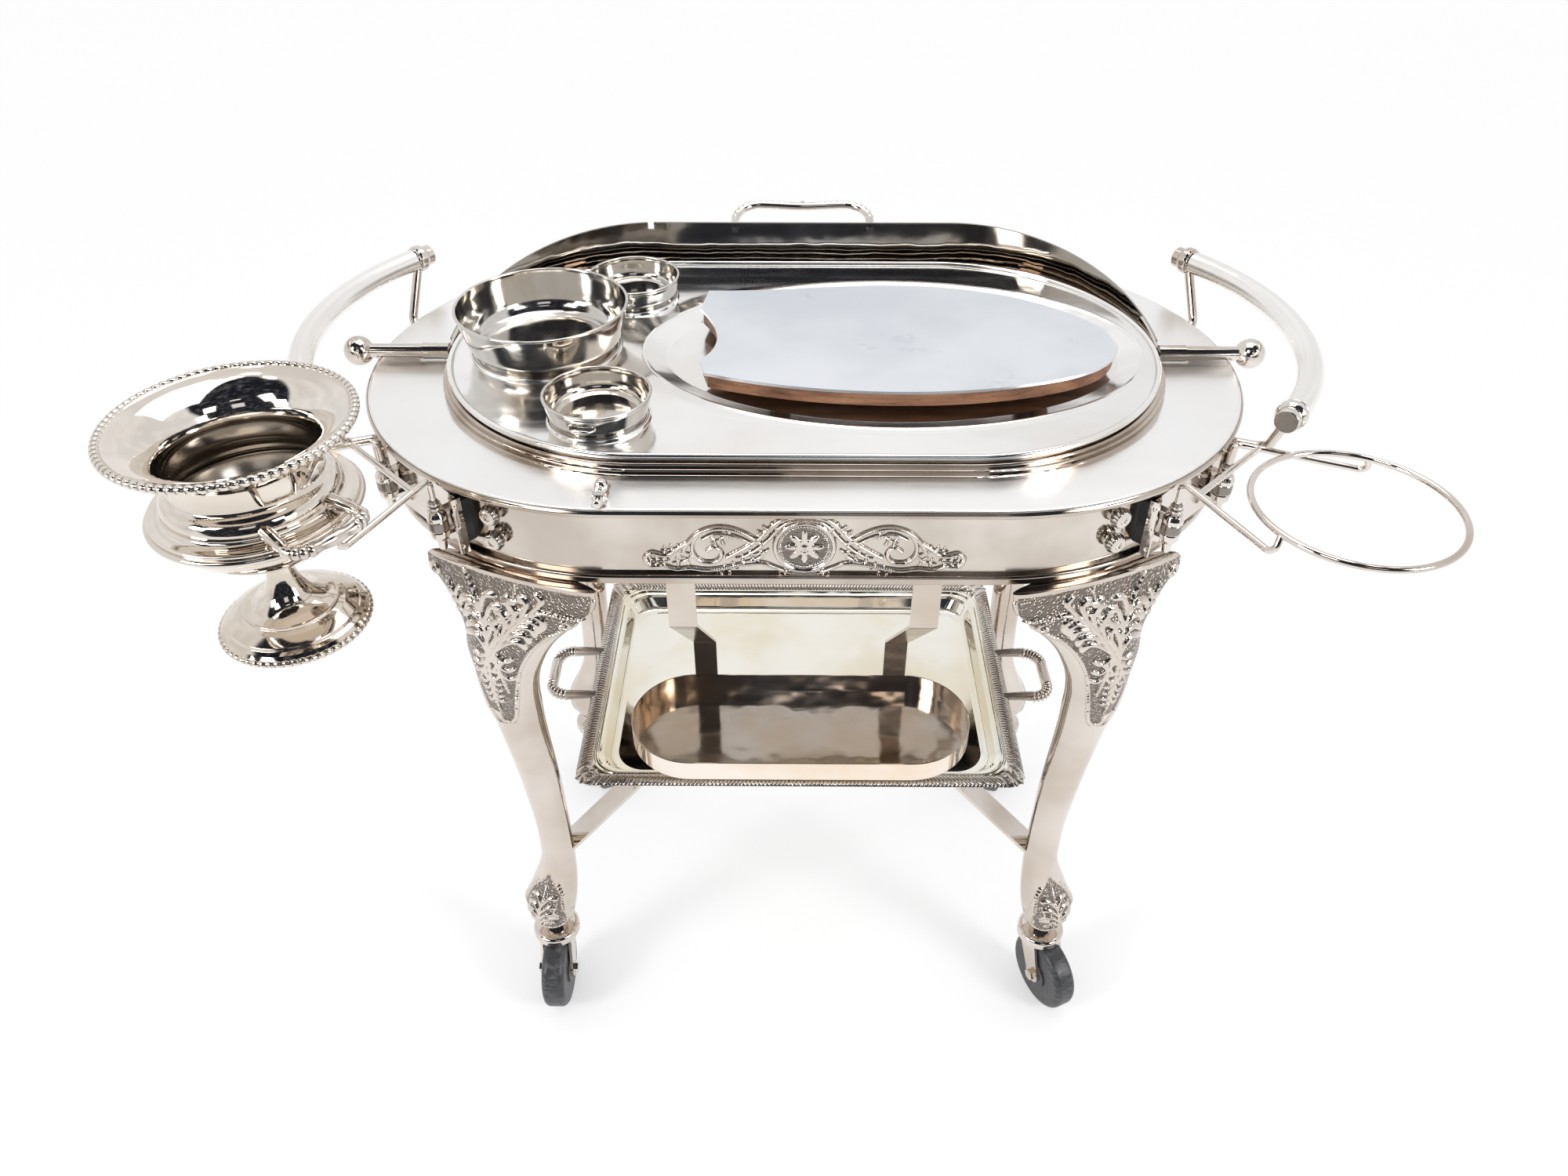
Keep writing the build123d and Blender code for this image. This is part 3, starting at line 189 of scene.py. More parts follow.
def silver(name, tint, warm, roughness, haze=0.05, wave=0.00006, scratch=0.00001, stipple=0.0, grime=0.0):
    """Plated metal: cloudy tint, smeared polish, faint dents, fine scratches and recesses darkened by
    painted shade.
    """

    def build(net):
        place = net.place()
        cloud = net.noise(place, 7.0, 4.0)
        smear = net.noise(net.stretch(place, (3, 26, 9), (0.3, 0.2, 0.5)), 2.4, 5.0, 0.62)
        colour = net.mix(net.level(cloud, 0.38, 0.66), tint, warm)
        # This attribute holds painted shade, laid on each piece's hollows, grooves and narrow parts; grime
        # adds real dirt spots to it.
        recess = net.add("ShaderNodeAttribute", {"attribute_name": "recess"}, None, 2)
        spots = net.level(net.noise(place, 55.0, 6.0, 0.7), 0.60, 0.74)
        tone = recess + grime * spots
        if stipple:
            pits = net.add("ShaderNodeTexVoronoi", None, {"Vector": place, "Scale": 300.0})
            ground = net.add("ShaderNodeAttribute", {"attribute_name": "ground"}, None, 2)
            # Painted shade in the hollows of the stippled ground, between its bumps.
            tone = tone + ground * net.level(pits, 0.32, 0.55, 0.0, 0.62)
        # Painted shade and grime together darken the colour towards a dark warm tone, and roughen it.
        grime_and_painted_shade = net.level(tone, 0.05, 0.95)
        colour = net.mix(grime_and_painted_shade, colour, tuple(0.34 * c for c in warm))
        rough = roughness + haze * net.level(smear, 0.42, 0.70) + 0.22 * grime_and_painted_shade
        dents = net.bump(net.noise(place, 16.0, 2.0), wave * 12)
        lines = net.noise(net.stretch(place, (900, 60, 240), (0.4, 0.1, 0.9)), 1.0, 2.0)
        normal = net.bump(lines, scratch, 1.0, dents)
        if stipple:
            normal = net.bump(net.level(pits, 0.0, 0.6, 1.0, 0.0) * ground, stipple, 1.0, normal)
        return {"Base Color": colour, "Metallic": 1.0, "Roughness": rough, "Normal": normal}

    return surface(name, build)


def oiled_wood(net):
    """Brown hardwood: stretched grain, darker growth lines and short pores."""
    place = net.place()
    grain = net.noise(net.stretch(place, (14, 160, 210)), 1.0, 5.0, 0.6)
    rings = net.add(
        "ShaderNodeTexWave",
        {"wave_type": "BANDS", "bands_direction": "Y"},
        {"Vector": net.stretch(place, (2, 9, 60)), "Scale": 1.6, "Distortion": 5.0, "Detail": 3.0},
    )
    pores = net.level(net.noise(net.stretch(place, (60, 900, 900)), 1.0, 2.0), 0.60, 0.72)
    colour = net.ramp(
        grain * 0.8 + rings * 0.2,
        [(0.25, (0.085, 0.032, 0.015)), (0.5, (0.21, 0.092, 0.045)), (0.78, (0.34, 0.17, 0.088))],
    )
    colour = net.mix(pores * 0.6, colour, (0.05, 0.02, 0.01))
    normal = net.bump(grain - pores * 0.5, 0.0004)
    return {"Base Color": colour, "Roughness": 0.36 + 0.2 * grain, "Normal": normal}


def satin_plate(net):
    """The board's metal top: cool, hazy, with knife marks and dull stains."""
    place = net.place()
    cloud = net.noise(place, 6.0, 5.0)
    cuts = net.noise(net.stretch(place, (40, 1300, 40), (0, 0, 0.6)), 1.0, 3.0)
    stain = net.level(net.noise(place, 21.0, 6.0, 0.66), 0.62, 0.76)
    colour = net.mix(net.level(cloud, 0.35, 0.65), (0.70, 0.73, 0.77), (0.80, 0.82, 0.85))
    colour = net.mix(stain * 0.35, colour, (0.42, 0.43, 0.46))
    return {
        "Base Color": colour,
        "Metallic": 1.0,
        "Roughness": 0.27 + 0.12 * cloud + 0.1 * stain,
        "Normal": net.bump(cuts, 0.00003),
    }


def black_rubber(net):
    """Matt moulded rubber with dust in its grain."""
    place = net.place()
    grain = net.noise(place, 700.0, 2.0)
    dust = net.level(net.noise(place, 40.0, 5.0), 0.52, 0.78)
    colour = net.mix(dust * 0.5, (0.018, 0.018, 0.019), (0.07, 0.068, 0.066))
    return {"Base Color": colour, "Roughness": 0.55 + 0.2 * dust, "Normal": net.bump(grain, 0.00012)}


def worn_tyre(net):
    """A dark grey wheel: scuffed tread, fine grit."""
    place = net.place()
    scuff = net.level(net.noise(net.stretch(place, (60, 60, 190)), 1.0, 5.0, 0.7), 0.45, 0.75)
    grit = net.noise(place, 900.0, 2.0)
    colour = net.mix(scuff * 0.7, (0.030, 0.031, 0.034), (0.15, 0.15, 0.155))
    normal = net.bump(grit + scuff, 0.00015)
    return {"Base Color": colour, "Roughness": 0.34 + 0.25 * scuff, "Normal": normal}


# Apart from the board, wood, rubber and tyre these are one silver plate. The darker tints of the skirt,
# bright, band, fitting, strap, dome, leg, urn, bowl and relief plates are painted shade: they dim each
# part's reflections to the level seen on it. The cloudy mix of tint and warm is the plate's own tone.
finishes = {
    "deck": silver("deck_plate", (0.95, 0.943, 0.93), (0.92, 0.905, 0.88), 0.28, 0.05, 0.00001, 0.000001),
    "skirt": silver("skirt_plate", (0.71, 0.65, 0.59), (0.52, 0.46, 0.40), 0.10, 0.08, 0.00003),
    "bright": silver("bright_plate", (0.74, 0.685, 0.63), (0.58, 0.50, 0.43), 0.07, 0.05),
    "band": silver("band_plate", (0.60, 0.535, 0.475), (0.42, 0.35, 0.29), 0.06, 0.05),
    "fitting": silver("fitting_plate", (0.76, 0.71, 0.66), (0.62, 0.54, 0.47), 0.07, 0.05),
    "handle": silver(
        "handle_plate", (0.93, 0.91, 0.88), (0.89, 0.86, 0.82), 0.22, 0.05, 0.00003, 0.000003,
    ),
    "strap": silver("strap_plate", (0.66, 0.59, 0.52), (0.56, 0.48, 0.41), 0.16, 0.08),
    "dome": silver("dome_plate", (0.46, 0.445, 0.43), (0.40, 0.36, 0.315), 0.04, 0.04, 0.00014),
    "insert": silver(
        "insert_plate", (0.93, 0.92, 0.90), (0.88, 0.85, 0.81), 0.12, 0.08, 0.00004, 0.000002,
    ),
    "leg": silver("leg_plate", (0.70, 0.635, 0.575), (0.58, 0.50, 0.43), 0.08, 0.07, stipple=0.0013),
    "urn": silver("urn_plate", (0.80, 0.745, 0.68), (0.70, 0.62, 0.53), 0.05, 0.04),
    "bowl": silver("bowl_plate", (0.66, 0.645, 0.62), (0.62, 0.57, 0.505), 0.09, 0.05, 0.00004, 0.000002),
    "tray": silver("tray_plate", (0.90, 0.87, 0.79), (0.84, 0.77, 0.61), 0.06, 0.04),
    "relief": silver(
        "relief_plate", (0.74, 0.695, 0.645), (0.60, 0.525, 0.46), 0.11, 0.07, stipple=0.0009,
    ),
    "bath": silver("bath_plate", (0.82, 0.80, 0.77), (0.76, 0.72, 0.66), 0.22, 0.1),
    # The pan's brown tint is a painted reflection of the brown underside it mirrors.
    "pan": silver("pan_plate", (0.88, 0.80, 0.72), (0.82, 0.66, 0.50), 0.08, 0.06, 0.00012),
    "board": surface("board_metal", satin_plate),
    "wood": surface("board_wood", oiled_wood),
    "rubber": surface("pad_rubber", black_rubber),
    "tyre": surface("wheel_tyre", worn_tyre),
}


# ---- Surroundings ----
PANELS = (
    ((-0.50, -0.60, 0.62), 0.10, 0.12, 0.05, 6.0),
    ((0.13, -0.86, 0.50), 0.14, 0.10, 0.01, 0.85),
    ((0.10, -0.66, 0.74), 0.10, 0.018, 0.01, 1.2),
    ((0.62, -0.52, 0.58), 0.09, 0.11, 0.04, 5.0),
    ((-0.86, -0.46, 0.22), 0.07, 0.16, 0.03, 0.7),
)
SPOTS = (
    (-0.34, 0.22, 0.91), (-0.22, 0.10, 0.97), (-0.08, 0.26, 0.96), (0.05, 0.06, 1.0),
    (0.18, 0.24, 0.95), (0.30, 0.08, 0.95), (-0.45, 0.02, 0.89), (0.44, 0.20, 0.88),
)


def surroundings():
    """White where the camera looks. Reflections show pale walls and, overhead and on the near side, a
    dark room with soft boxes and a few small spots."""
    world = bpy.data.worlds.new("studio")
    bpy.context.scene.world = world
    net = Net(world)
    ray = net.add("ShaderNodeTexCoord", output=0)
    split = net.add("ShaderNodeSeparateXYZ", None, {0: ray})
    across, deep, high = (Value(net, split.socket.node.outputs[i]) for i in range(3))

    def toward(way):
        way = np.array(way) / np.linalg.norm(way)
        return across * float(way[0]) + deep * float(way[1]) + high * float(way[2])

    rough = net.noise(ray, 3.0, 3.0)
    pale = net.mix(net.level(rough, 0.38, 0.66), (0.84, 0.84, 0.85), (0.97, 0.97, 0.98))
    speck = net.noise(net.stretch(ray, (9, 9, 22)), 1.0, 5.0, 0.6)
    room = net.mix(net.level(speck, 0.48, 0.70), (0.012, 0.014, 0.021), (0.11, 0.115, 0.13))
    edge = toward((0, -0.75, 0.66)) + 0.10 * rough
    sky = net.mix(net.level(edge, 0.58, 0.66), pale, room)
    for middle, half_width, half_height, soft, power in PANELS:
        right = np.cross(middle, (0, 0, 1))
        up = np.cross(right, middle)
        wide = net.level(abs(toward(right)), half_width, half_width + soft, 1.0, 0.0)
        tall = net.level(abs(toward(up)), half_height, half_height + soft, 1.0, 0.0)
        front = toward(middle) > 0.5
        sky = net.mix(wide * tall * front, sky, (power, power, 1.02 * power))
    for middle in SPOTS:
        sky = net.mix(net.level(toward(middle), 0.9984, 0.9994), sky, (7.0, 6.6, 6.0))
    path = net.add("ShaderNodeLightPath")
    camera_ray = Value(net, path.socket.node.outputs["Is Camera Ray"])
    glossy_ray = Value(net, path.socket.node.outputs["Is Glossy Ray"])
    colour = net.mix(glossy_ray, (0.92, 0.93, 0.95), sky)
    colour = net.mix(camera_ray, colour, (1.0, 1.0, 1.0))
    net.add(
        "ShaderNodeOutputWorld", None, {0: net.add("ShaderNodeBackground", None, {0: colour, 1: 1.0})},
    )


def paper(net_material):
    """The white ground: partly its own light, and enough of a matt surface to hold soft shadows."""
    net = Net(net_material)
    place = net.place()
    tone = net.mix(
        net.level(net.noise(place, 0.8, 2.0), 0.3, 0.7), (0.90, 0.90, 0.905), (0.92, 0.92, 0.92),
    )
    matt = net.add("ShaderNodeBsdfDiffuse", None, {0: tone})
    glow = net.add("ShaderNodeEmission", None, {0: (1.0, 1.0, 1.0), 1: 1.0})
    apart = net.add("ShaderNodeVectorMath", {"operation": "LENGTH"}, {0: place}, 1)
    share = net.level(apart, 0.5, 2.4, 0.38, 0.9)
    both = net.add("ShaderNodeMixShader", None, {0: share, 1: matt, 2: glow})
    path = net.add("ShaderNodeLightPath")
    seen = Value(net, path.socket.node.outputs["Is Camera Ray"])
    glossy = Value(net, path.socket.node.outputs["Is Glossy Ray"])
    shader = net.add("ShaderNodeMixShader", None, {0: seen + glossy, 1: matt, 2: both})
    net.add("ShaderNodeOutputMaterial", None, {0: shader})


bpy.context.scene.view_settings.view_transform = "Standard"
surroundings()
floor_mesh = bpy.data.meshes.new("floor")
floor_mesh.from_pydata([(-9, -9, 0), (9, -9, 0), (9, 12, 0), (-9, 12, 0)], [], [(0, 1, 2, 3)])
floor_material = bpy.data.materials.new("floor_paper")
paper(floor_material)
floor_mesh.materials.append(floor_material)
floor = bpy.data.objects.new("floor", floor_mesh)
bpy.context.scene.collection.objects.link(floor)

for name, place, size, power in (
    ("lamp_left", (-2.3, -1.7, 1.9), 0.8, 34),
    ("lamp_right", (2.3, -1.7, 1.9), 0.8, 34),
    ("lamp_top", (0.1, 0.3, 2.9), 1.6, 14),
):
    lamp = bpy.data.lights.new(name, "AREA")
    lamp.size = size
    lamp.energy = power
    holder = bpy.data.objects.new(name, lamp)
    holder.location = place
    aim = holder.location.copy()
    aim.z -= 0.6
    holder.rotation_euler = aim.to_track_quat("Z", "Y").to_euler()
    bpy.context.scene.collection.objects.link(holder)


# ---- Surfaces ----
class Shape:
    """Points and faces of one mesh, gathered from grids of points."""

    def __init__(self):
        self.points, self.faces, self.recess, self.ground, self.count = [], [], [], [], 0

    # Besides points and wrap, grid takes painted shade for the silver materials and a mask of the stippled
    # ground.
    def grid(self, points, wrap=(False, False), recess=0.0, ground=0.0):
        """Joins an n by m grid of points into quads, and each wrapped direction back to its start."""
        rows, columns = points.shape[:2]
        index = self.count + np.arange(rows * columns).reshape(rows, columns)
        for axis in (0, 1):
            if wrap[axis]:
                index = np.concatenate([index, index.take([0], axis)], axis)
        quads = np.stack([index[:-1, :-1], index[1:, :-1], index[1:, 1:], index[:-1, 1:]], -1)
        self.faces.append(quads.reshape(-1, 4))
        self.points.append(points.reshape(-1, 3))
        self.recess.append(np.broadcast_to(recess, (rows, columns)).ravel())
        self.ground.append(np.broadcast_to(ground, (rows, columns)).ravel())
        self.count += rows * columns

    def slab(self, outer, inner, recess=0.0, ground=0.0):
        """A closed sheet: an outer and an inner grid, joined along their four borders."""
        self.grid(outer, recess=recess, ground=ground)
        self.grid(inner)
        for pick in (np.s_[0, :], np.s_[-1, :], np.s_[:, 0], np.s_[:, -1]):
            self.grid(np.stack([outer[pick], inner[pick]]))

    def piece(self, name, body, finish, nodes, slot, sharp=38.0):
        """Makes the mesh object: seams welded, faces outward, smooth below the sharp angle."""
        mesh = bpy.data.meshes.new(name)
        points = np.concatenate(self.points) * MM
        mesh.from_pydata(points.tolist(), [], np.concatenate(self.faces).tolist())
        for key, values in (("recess", self.recess), ("ground", self.ground)):
            layer = mesh.attributes.new(key, "FLOAT", "POINT")
            layer.data.foreach_set("value", np.concatenate(values).astype(np.float32))
        net = bmesh.new()
        net.from_mesh(mesh)
        bmesh.ops.remove_doubles(net, verts=net.verts, dist=0.002 * MM)
        bmesh.ops.recalc_face_normals(net, faces=net.faces)
        net.to_mesh(mesh)
        net.free()
        mesh.polygons.foreach_set("use_smooth", np.ones(len(mesh.polygons), bool))
        mesh.set_sharp_from_angle(angle=radians(sharp))
        mesh.materials.append(finishes[finish])
        made = bpy.data.objects.new(name, mesh)
        bpy.context.scene.collection.objects.link(made)
        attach(made, body)
        if nodes:
            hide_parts(*nodes)
        return made


def circle(count):
    """Even angles round a full turn, without the last, which is the first again."""
    return np.linspace(0, 2 * pi, count, endpoint=False)


def rounded(points, steps=6):
    """A polyline of (across, up, radius) corners, each replaced by an arc tangent to its two sides."""
    corners = np.array([p if len(p) == 3 else (*p, 0.0) for p in points], float)
    places, radii = corners[:, :2], corners[:, 2]
    out = [places[:1]]
    for before, corner, after, radius in zip(places, places[1:], places[2:], radii[1:]):
        if radius <= 0:
            out.append(corner[None])
            continue
        a, b = before - corner, after - corner
        a, b = a / np.hypot(*a), b / np.hypot(*b)
        half = np.arccos(np.clip(a @ b, -1, 1)) / 2
        nearest = min(np.hypot(*(before - corner)), np.hypot(*(after - corner)))
        radius = min(radius, 0.98 * np.tan(half) * nearest)
        middle = corner + (a + b) / np.hypot(*(a + b)) * radius / np.sin(half)
        first = corner + a * radius / np.tan(half) - middle
        last = corner + b * radius / np.tan(half) - middle
        swing = np.arctan2(first[0] * last[1] - first[1] * last[0], first @ last)
        turn = np.linspace(0, swing, steps)[:, None]
        out.append(middle + np.cos(turn) * first + np.sin(turn) * np.array([-first[1], first[0]]))
    out.append(places[-1:])
    return np.concatenate(out)


def flowing(points, steps=8):
    """A curve through points of any dimension: cubic pieces whose slopes come from the neighbours."""
    p = np.array(points, float)
    p = np.concatenate([2 * p[:1] - p[1:2], p, 2 * p[-1:] - p[-2:-1]])
    t = np.linspace(0, 1, steps, endpoint=False)[None, :, None]
    a, b, c, d = (p[i:len(p) - 3 + i, None, :] for i in range(4))
    bend, twist = 2 * a - 5 * b + 4 * c - d, 3 * b - a - 3 * c + d
    curve = 0.5 * (2 * b + (c - a) * t + bend * t**2 + twist * t**3)
    return np.concatenate([curve.reshape(-1, p.shape[1]), p[-2:-1]])


def carried(profile, straight=0.0, centre=(0.0, 0.0), steps=96):
    """A profile of (radius, z) rows carried round a circle, or a plan with two straight sides."""
    half = np.linspace(-pi / 2, pi / 2, steps // 2 + 1)
    turn = np.concatenate([half, half + pi])
    side = np.repeat([straight, -straight], len(half))
    radius, z = np.asarray(profile).T
    x = centre[0] + side + radius[:, None] * np.cos(turn)
    y = centre[1] + radius[:, None] * np.sin(turn)
    return np.stack([x, y, z[:, None] + 0 * x], -1)


def rope(ring, z, thick, lobes, centre, steps_each=6, lean=1.0):
    """A twisted rope round a circle: a ring whose section bulges along lobes that lean as they turn."""
    around = circle(lobes * steps_each)[:, None]
    section = circle(14)[None]
    wave = np.abs(np.sin(lobes * around / 2 + lean * section / 2))
    size = thick * (0.66 + 0.34 * wave**0.7)
    radius = ring + size * np.cos(section)
    points = np.stack(
        [
            centre[0] + radius * np.cos(around),
            centre[1] + radius * np.sin(around),
            z + size * np.sin(section) + 0 * around,
        ],
        -1,
    )
    # The second result is painted shade, darkest in the hollows between the lobes.
    return points, np.clip(1.15 - 1.9 * wave, 0, 1)


def bent(points, bend, steps=8):
    """A path of straight runs whose corners are arcs of that radius, in space."""
    p = np.array(points, float)
    out = [p[:1]]
    for before, corner, after in zip(p, p[1:], p[2:]):
        a, b = before - corner, after - corner
        la, lb = np.linalg.norm(a), np.linalg.norm(b)
        a, b = a / la, b / lb
        half = np.arccos(np.clip(a @ b, -1, 1)) / 2
        radius = min(bend, 0.98 * np.tan(half) * min(la, lb))
        middle = corner + (a + b) / np.linalg.norm(a + b) * radius / np.sin(half)
        u = corner + a * radius / np.tan(half) - middle
        v = corner + b * radius / np.tan(half) - middle
        whole = pi - 2 * half
        t = np.linspace(0, 1, steps)[:, None]
        out.append(middle + (np.sin((1 - t) * whole) * u + np.sin(t * whole) * v) / np.sin(whole))
    out.append(p[-1:])
    return np.concatenate(out)


def resampled(path, count):
    """The same path with another number of points: its coordinates read off at even steps of its index."""
    fine = np.linspace(0, len(path) - 1, count)
    return np.stack([np.interp(fine, np.arange(len(path)), column) for column in path.T], -1)


def measured(path):
    """The length run along a path at each of its points."""
    return np.concatenate([[0], np.cumsum(np.linalg.norm(np.diff(path, axis=0), axis=1))])


def tube(path, radius, flat, sides=20, squeeze=1.0):
    """A round bar along a path: circles square to it, set out from the direction flat, which the path
    never follows; the radius may change along it, and squeeze narrows it across flat. Ends are closed."""
    path = np.asarray(path, float)
    way = np.gradient(path, axis=0)
    way /= np.linalg.norm(way, axis=1)[:, None]
    side = np.cross(way, np.asarray(flat, float))
    side /= np.linalg.norm(side, axis=1)[:, None]
    up = np.cross(side, way)
    turn = circle(sides)[None, :, None]
    size = np.broadcast_to(radius, len(path))[:, None, None]
    rings = path[:, None] + size * (squeeze * np.cos(turn) * side[:, None] + np.sin(turn) * up[:, None])
    ends = [np.broadcast_to(path[i], (1, sides, 3)) for i in (0, -1)]
    return np.concatenate([ends[0], rings, ends[1]])


def strokes(u, v, lines):
    """Height of a relief at (u, v): the highest of many tapering ridges. Each line gives its points,
    and its half width and height at every point; a ridge is half an ellipse across."""
    height = np.zeros_like(u)
    for points, width, tall in lines:
        points = np.asarray(points, float)
        width = np.broadcast_to(width, len(points))
        tall = np.broadcast_to(tall, len(points))
        low = points.min(0) - width.max()
        high = points.max(0) + width.max()
        near = (u > low[0]) & (u < high[0]) & (v > low[1]) & (v < high[1])
        apart = np.hypot(u[near][:, None] - points[:, 0], v[near][:, None] - points[:, 1]) / width
        rise = tall * np.sqrt(np.clip(1 - apart**2, 0, 1))
        height[near] = np.maximum(height[near], rise.max(1))
    return height


def frond(path, spread, pairs, width, tall, steps=14):
    """An acanthus leaf as ridges: a midrib that flows along the path, and pairs of lobes that leave it
    forwards, swell and curl back at their ends."""
    rib = flowing(path, 12)
    t = np.linspace(0, 1, steps)
    way = np.gradient(rib, axis=0)
    way /= np.linalg.norm(way, axis=1)[:, None]
    lines = [(rib, width * np.linspace(1.0, 0.4, len(rib)), tall)]
    for i in range(pairs):
        share = (i + 0.35) / pairs
        at = int(share * (len(rib) - 1))
        ahead, across = way[at], np.array([-way[at, 1], way[at, 0]])
        reach = spread * np.sin(pi * (0.22 + 0.68 * share)) ** 0.8
        for side in (-1, 1):
            sway = side * np.sin(t * pi / 2)[:, None] * across + (0.95 * t - 0.6 * t**3)[:, None] * ahead
            fat = width * (0.50 + 0.70 * np.sin(pi * t * 0.9))
            lines.append((rib[at] + reach * sway, fat, tall * (0.95 - 0.30 * t)))
    return lines


def plume(path, reach, count, width, tall):
    """An acanthus leaf as long ridges. Each leaves the midrib at a low angle, runs on beside it, swells
    and turns away at its end; the midrib is the strongest."""
    rib = flowing(path, 14)
    way = np.gradient(rib, axis=0)
    way /= np.linalg.norm(way, axis=1)[:, None]
    across = np.stack([-way[:, 1], way[:, 0]], -1)
    place = np.linspace(0, 1, len(rib))
    lines = [(rib, width * np.linspace(0.9, 0.5, len(rib)), 1.05 * tall)]
    t = np.linspace(0, 1, 26)
    for i in range(count):
        start = 0.66 * i / count
        at = np.clip(start + (0.46 - 0.04 * i) * (1.15 * t - 0.62 * t**3), 0, 1)
        fan = reach * (0.16 * t + 0.84 * t**1.7) * (1 - 0.45 * start)
        fat = width * (0.42 + 0.55 * np.sin(pi * t**1.3) + 0.62 * np.exp(-(((t - 0.92) / 0.15) ** 2)))
        for side in (-1, 1):
            line = [np.interp(
                at, place, rib[:, k],
            ) + side * fan * np.interp(at, place, across[:, k]) for k in (0, 1)]
            lines.append((np.stack(line, -1), fat, tall * (0.75 + 0.25 * np.sin(pi * t))))
    return lines


def scroll(centre, radius, start, turns, width, tall, steps=44):
    """A spiral ridge that winds in to an eye: the radius shrinks evenly as the angle runs on."""
    t = np.linspace(0, 1, steps)
    angle = start + turns * 2 * pi * t
    reach = radius * (1 - 0.82 * t)
    points = np.stack([centre[0] + reach * np.cos(angle), centre[1] + reach * np.sin(angle)], -1)
    eye = (np.array([centre]), width * 1.5, tall * 1.15)
    return [(points, width * (1 - 0.45 * t), tall * (1 - 0.2 * t)), eye]


# ---- Legs: cabriole castings with acanthus on the knee and a framed leaf on the foot ----
LEG_FOOT = (322.0, 190.0, 135.0)
LEG_HEIGHT = 622.0
LEG_SWAY = 60.0
KNEE_HALF = (96.0, 31.0)
KNEE_TURN = radians(22)
LEG_STATIONS = (
    (1.000, -0.73, 0.93, 1.00, 0.39),
    (0.962, -0.72, 0.95, 0.93, 0.45),
    (0.930, -0.68, 0.96, 0.77, 0.55),
    (0.892, -0.59, 0.96, 0.59, 0.65),
    (0.815, -0.40, 0.83, 0.43, 0.81),
    (0.735, -0.30, 0.62, 0.335, 0.84),
    (0.650, -0.28, 0.43, 0.285, 0.80),
    (0.430, -0.33, 0.08, 0.235, 0.68),
    (0.265, -0.35, -0.05, 0.215, 0.61),
    (0.185, -0.31, -0.08, 0.23, 0.65),
    (0.120, -0.17, -0.05, 0.30, 0.84),
    (0.065, -0.03, 0.00, 0.345, 1.00),
    (0.025, 0.00, 0.00, 0.30, 0.90),
    (0.000, 0.00, 0.00, 0.22, 0.68),
)
stations = np.array(LEG_STATIONS)[::-1]


def station(high):
    """Sway along, sway out, half width and half depth at a share of the leg's height: a cubic through
    the stations whose slope at each is the mean of its two sides."""
    knots, values = stations[:, 0], stations[:, 1:]
    slope = np.gradient(values, knots, axis=0)
    i = np.clip(np.searchsorted(knots, high, "right") - 1, 0, len(knots) - 2)
    span = (knots[i + 1] - knots[i])[:, None]
    t = ((high - knots[i]) / span[:, 0])[:, None]
    return (
        (2 * t**3 - 3 * t**2 + 1) * values[i]
        + (t**3 - 2 * t**2 + t) * span * slope[i]
        + (3 * t**2 - 2 * t**3) * values[i + 1]
        + (t**3 - t**2) * span * slope[i + 1]
    )


KNEE_LEAVES = (
    ([(7, 658), (14, 692), (29, 722), (42, 752)], 26, 4, 3.5, 3.8),
    ([(4, 660), (-12, 700), (-38, 725), (-80, 722)], 25, 5, 3.5, 3.8),
    ([(5, 672), (10, 640), (22, 606)], 17, 3, 2.8, 3.2),
    ([(3, 672), (-8, 640), (-15, 606)], 17, 3, 2.8, 3.2),
    ([(4, 640), (2, 600), (-1, 568)], 12, 4, 2.1, 2.9),
    ([(-4, 704), (-10, 726), (-14, 750)], 12, 3, 2.0, 2.8),
    ([(36, 696), (54, 716), (66, 734)], 12, 3, 2.2, 2.8),
)
KNEE_RIMS = (
    [
        (-92, 746), (-84, 722), (-62, 706), (-42, 688), (-31, 662), (-25, 628), (-20, 588), (-14, 556),
        (-2, 545), (10, 549), (18, 566),
    ],
    [(95, 746), (84, 724), (70, 704), (54, 680), (41, 646), (31, 604), (22, 574), (18, 564)],
)


def knee_relief(s, z):
    """Relief of the knee: s runs in millimetres across its face towards the ear, z up. A stalk splits
    into a leaf to the ear and one to the wing; small leaves hang from the fork; a rim runs round."""
    lines = []
    for path, reach, count, width, tall in KNEE_LEAVES:
        lines += plume(path, reach, count, width, tall)
    for path in KNEE_RIMS:
        lines.append((flowing(path), 2.4, 2.2))
    ring = np.linspace(0, 2 * pi, 20)
    lines.append((np.stack([82 + 5.5 * np.cos(ring), 738 + 5.5 * np.sin(ring)], -1), 2.2, 2.8))
    lines += scroll((-62, 712), 7, pi / 2, 1.0, 1.8, 2.4)
    lines += scroll((60, 716), 8, -pi / 2, -1.0, 1.8, 2.4)
    return strokes(s, z, lines)


def foot_relief(s, z):
    """Relief of the foot: a leaf inside a rim that rounds up to a point, drawn on a smaller foot and
    stretched to this one."""
    s, z = s / 1.28, 137 + (z - 137) / 1.2
    rim = flowing([
        (0, 137), (-19, 142), (-24, 163), (-17, 194), (0, 224), (17, 194), (24, 163), (19, 142), (0, 137),
    ])
    lines = [(rim, 2.2, 2.0)]
    lines += plume([(0, 148), (0, 176), (0, 216)], 17, 4, 2.0, 2.8)
    for side in (-1, 1):
        lines += plume([(side * 3, 150), (side * 12, 164), (side * 15, 184)], 6, 2, 1.6, 2.2)
        lines += scroll((side * 11, 152), 4.5, pi / 2, side, 1.2, 2.2)
    return strokes(s, z, lines)


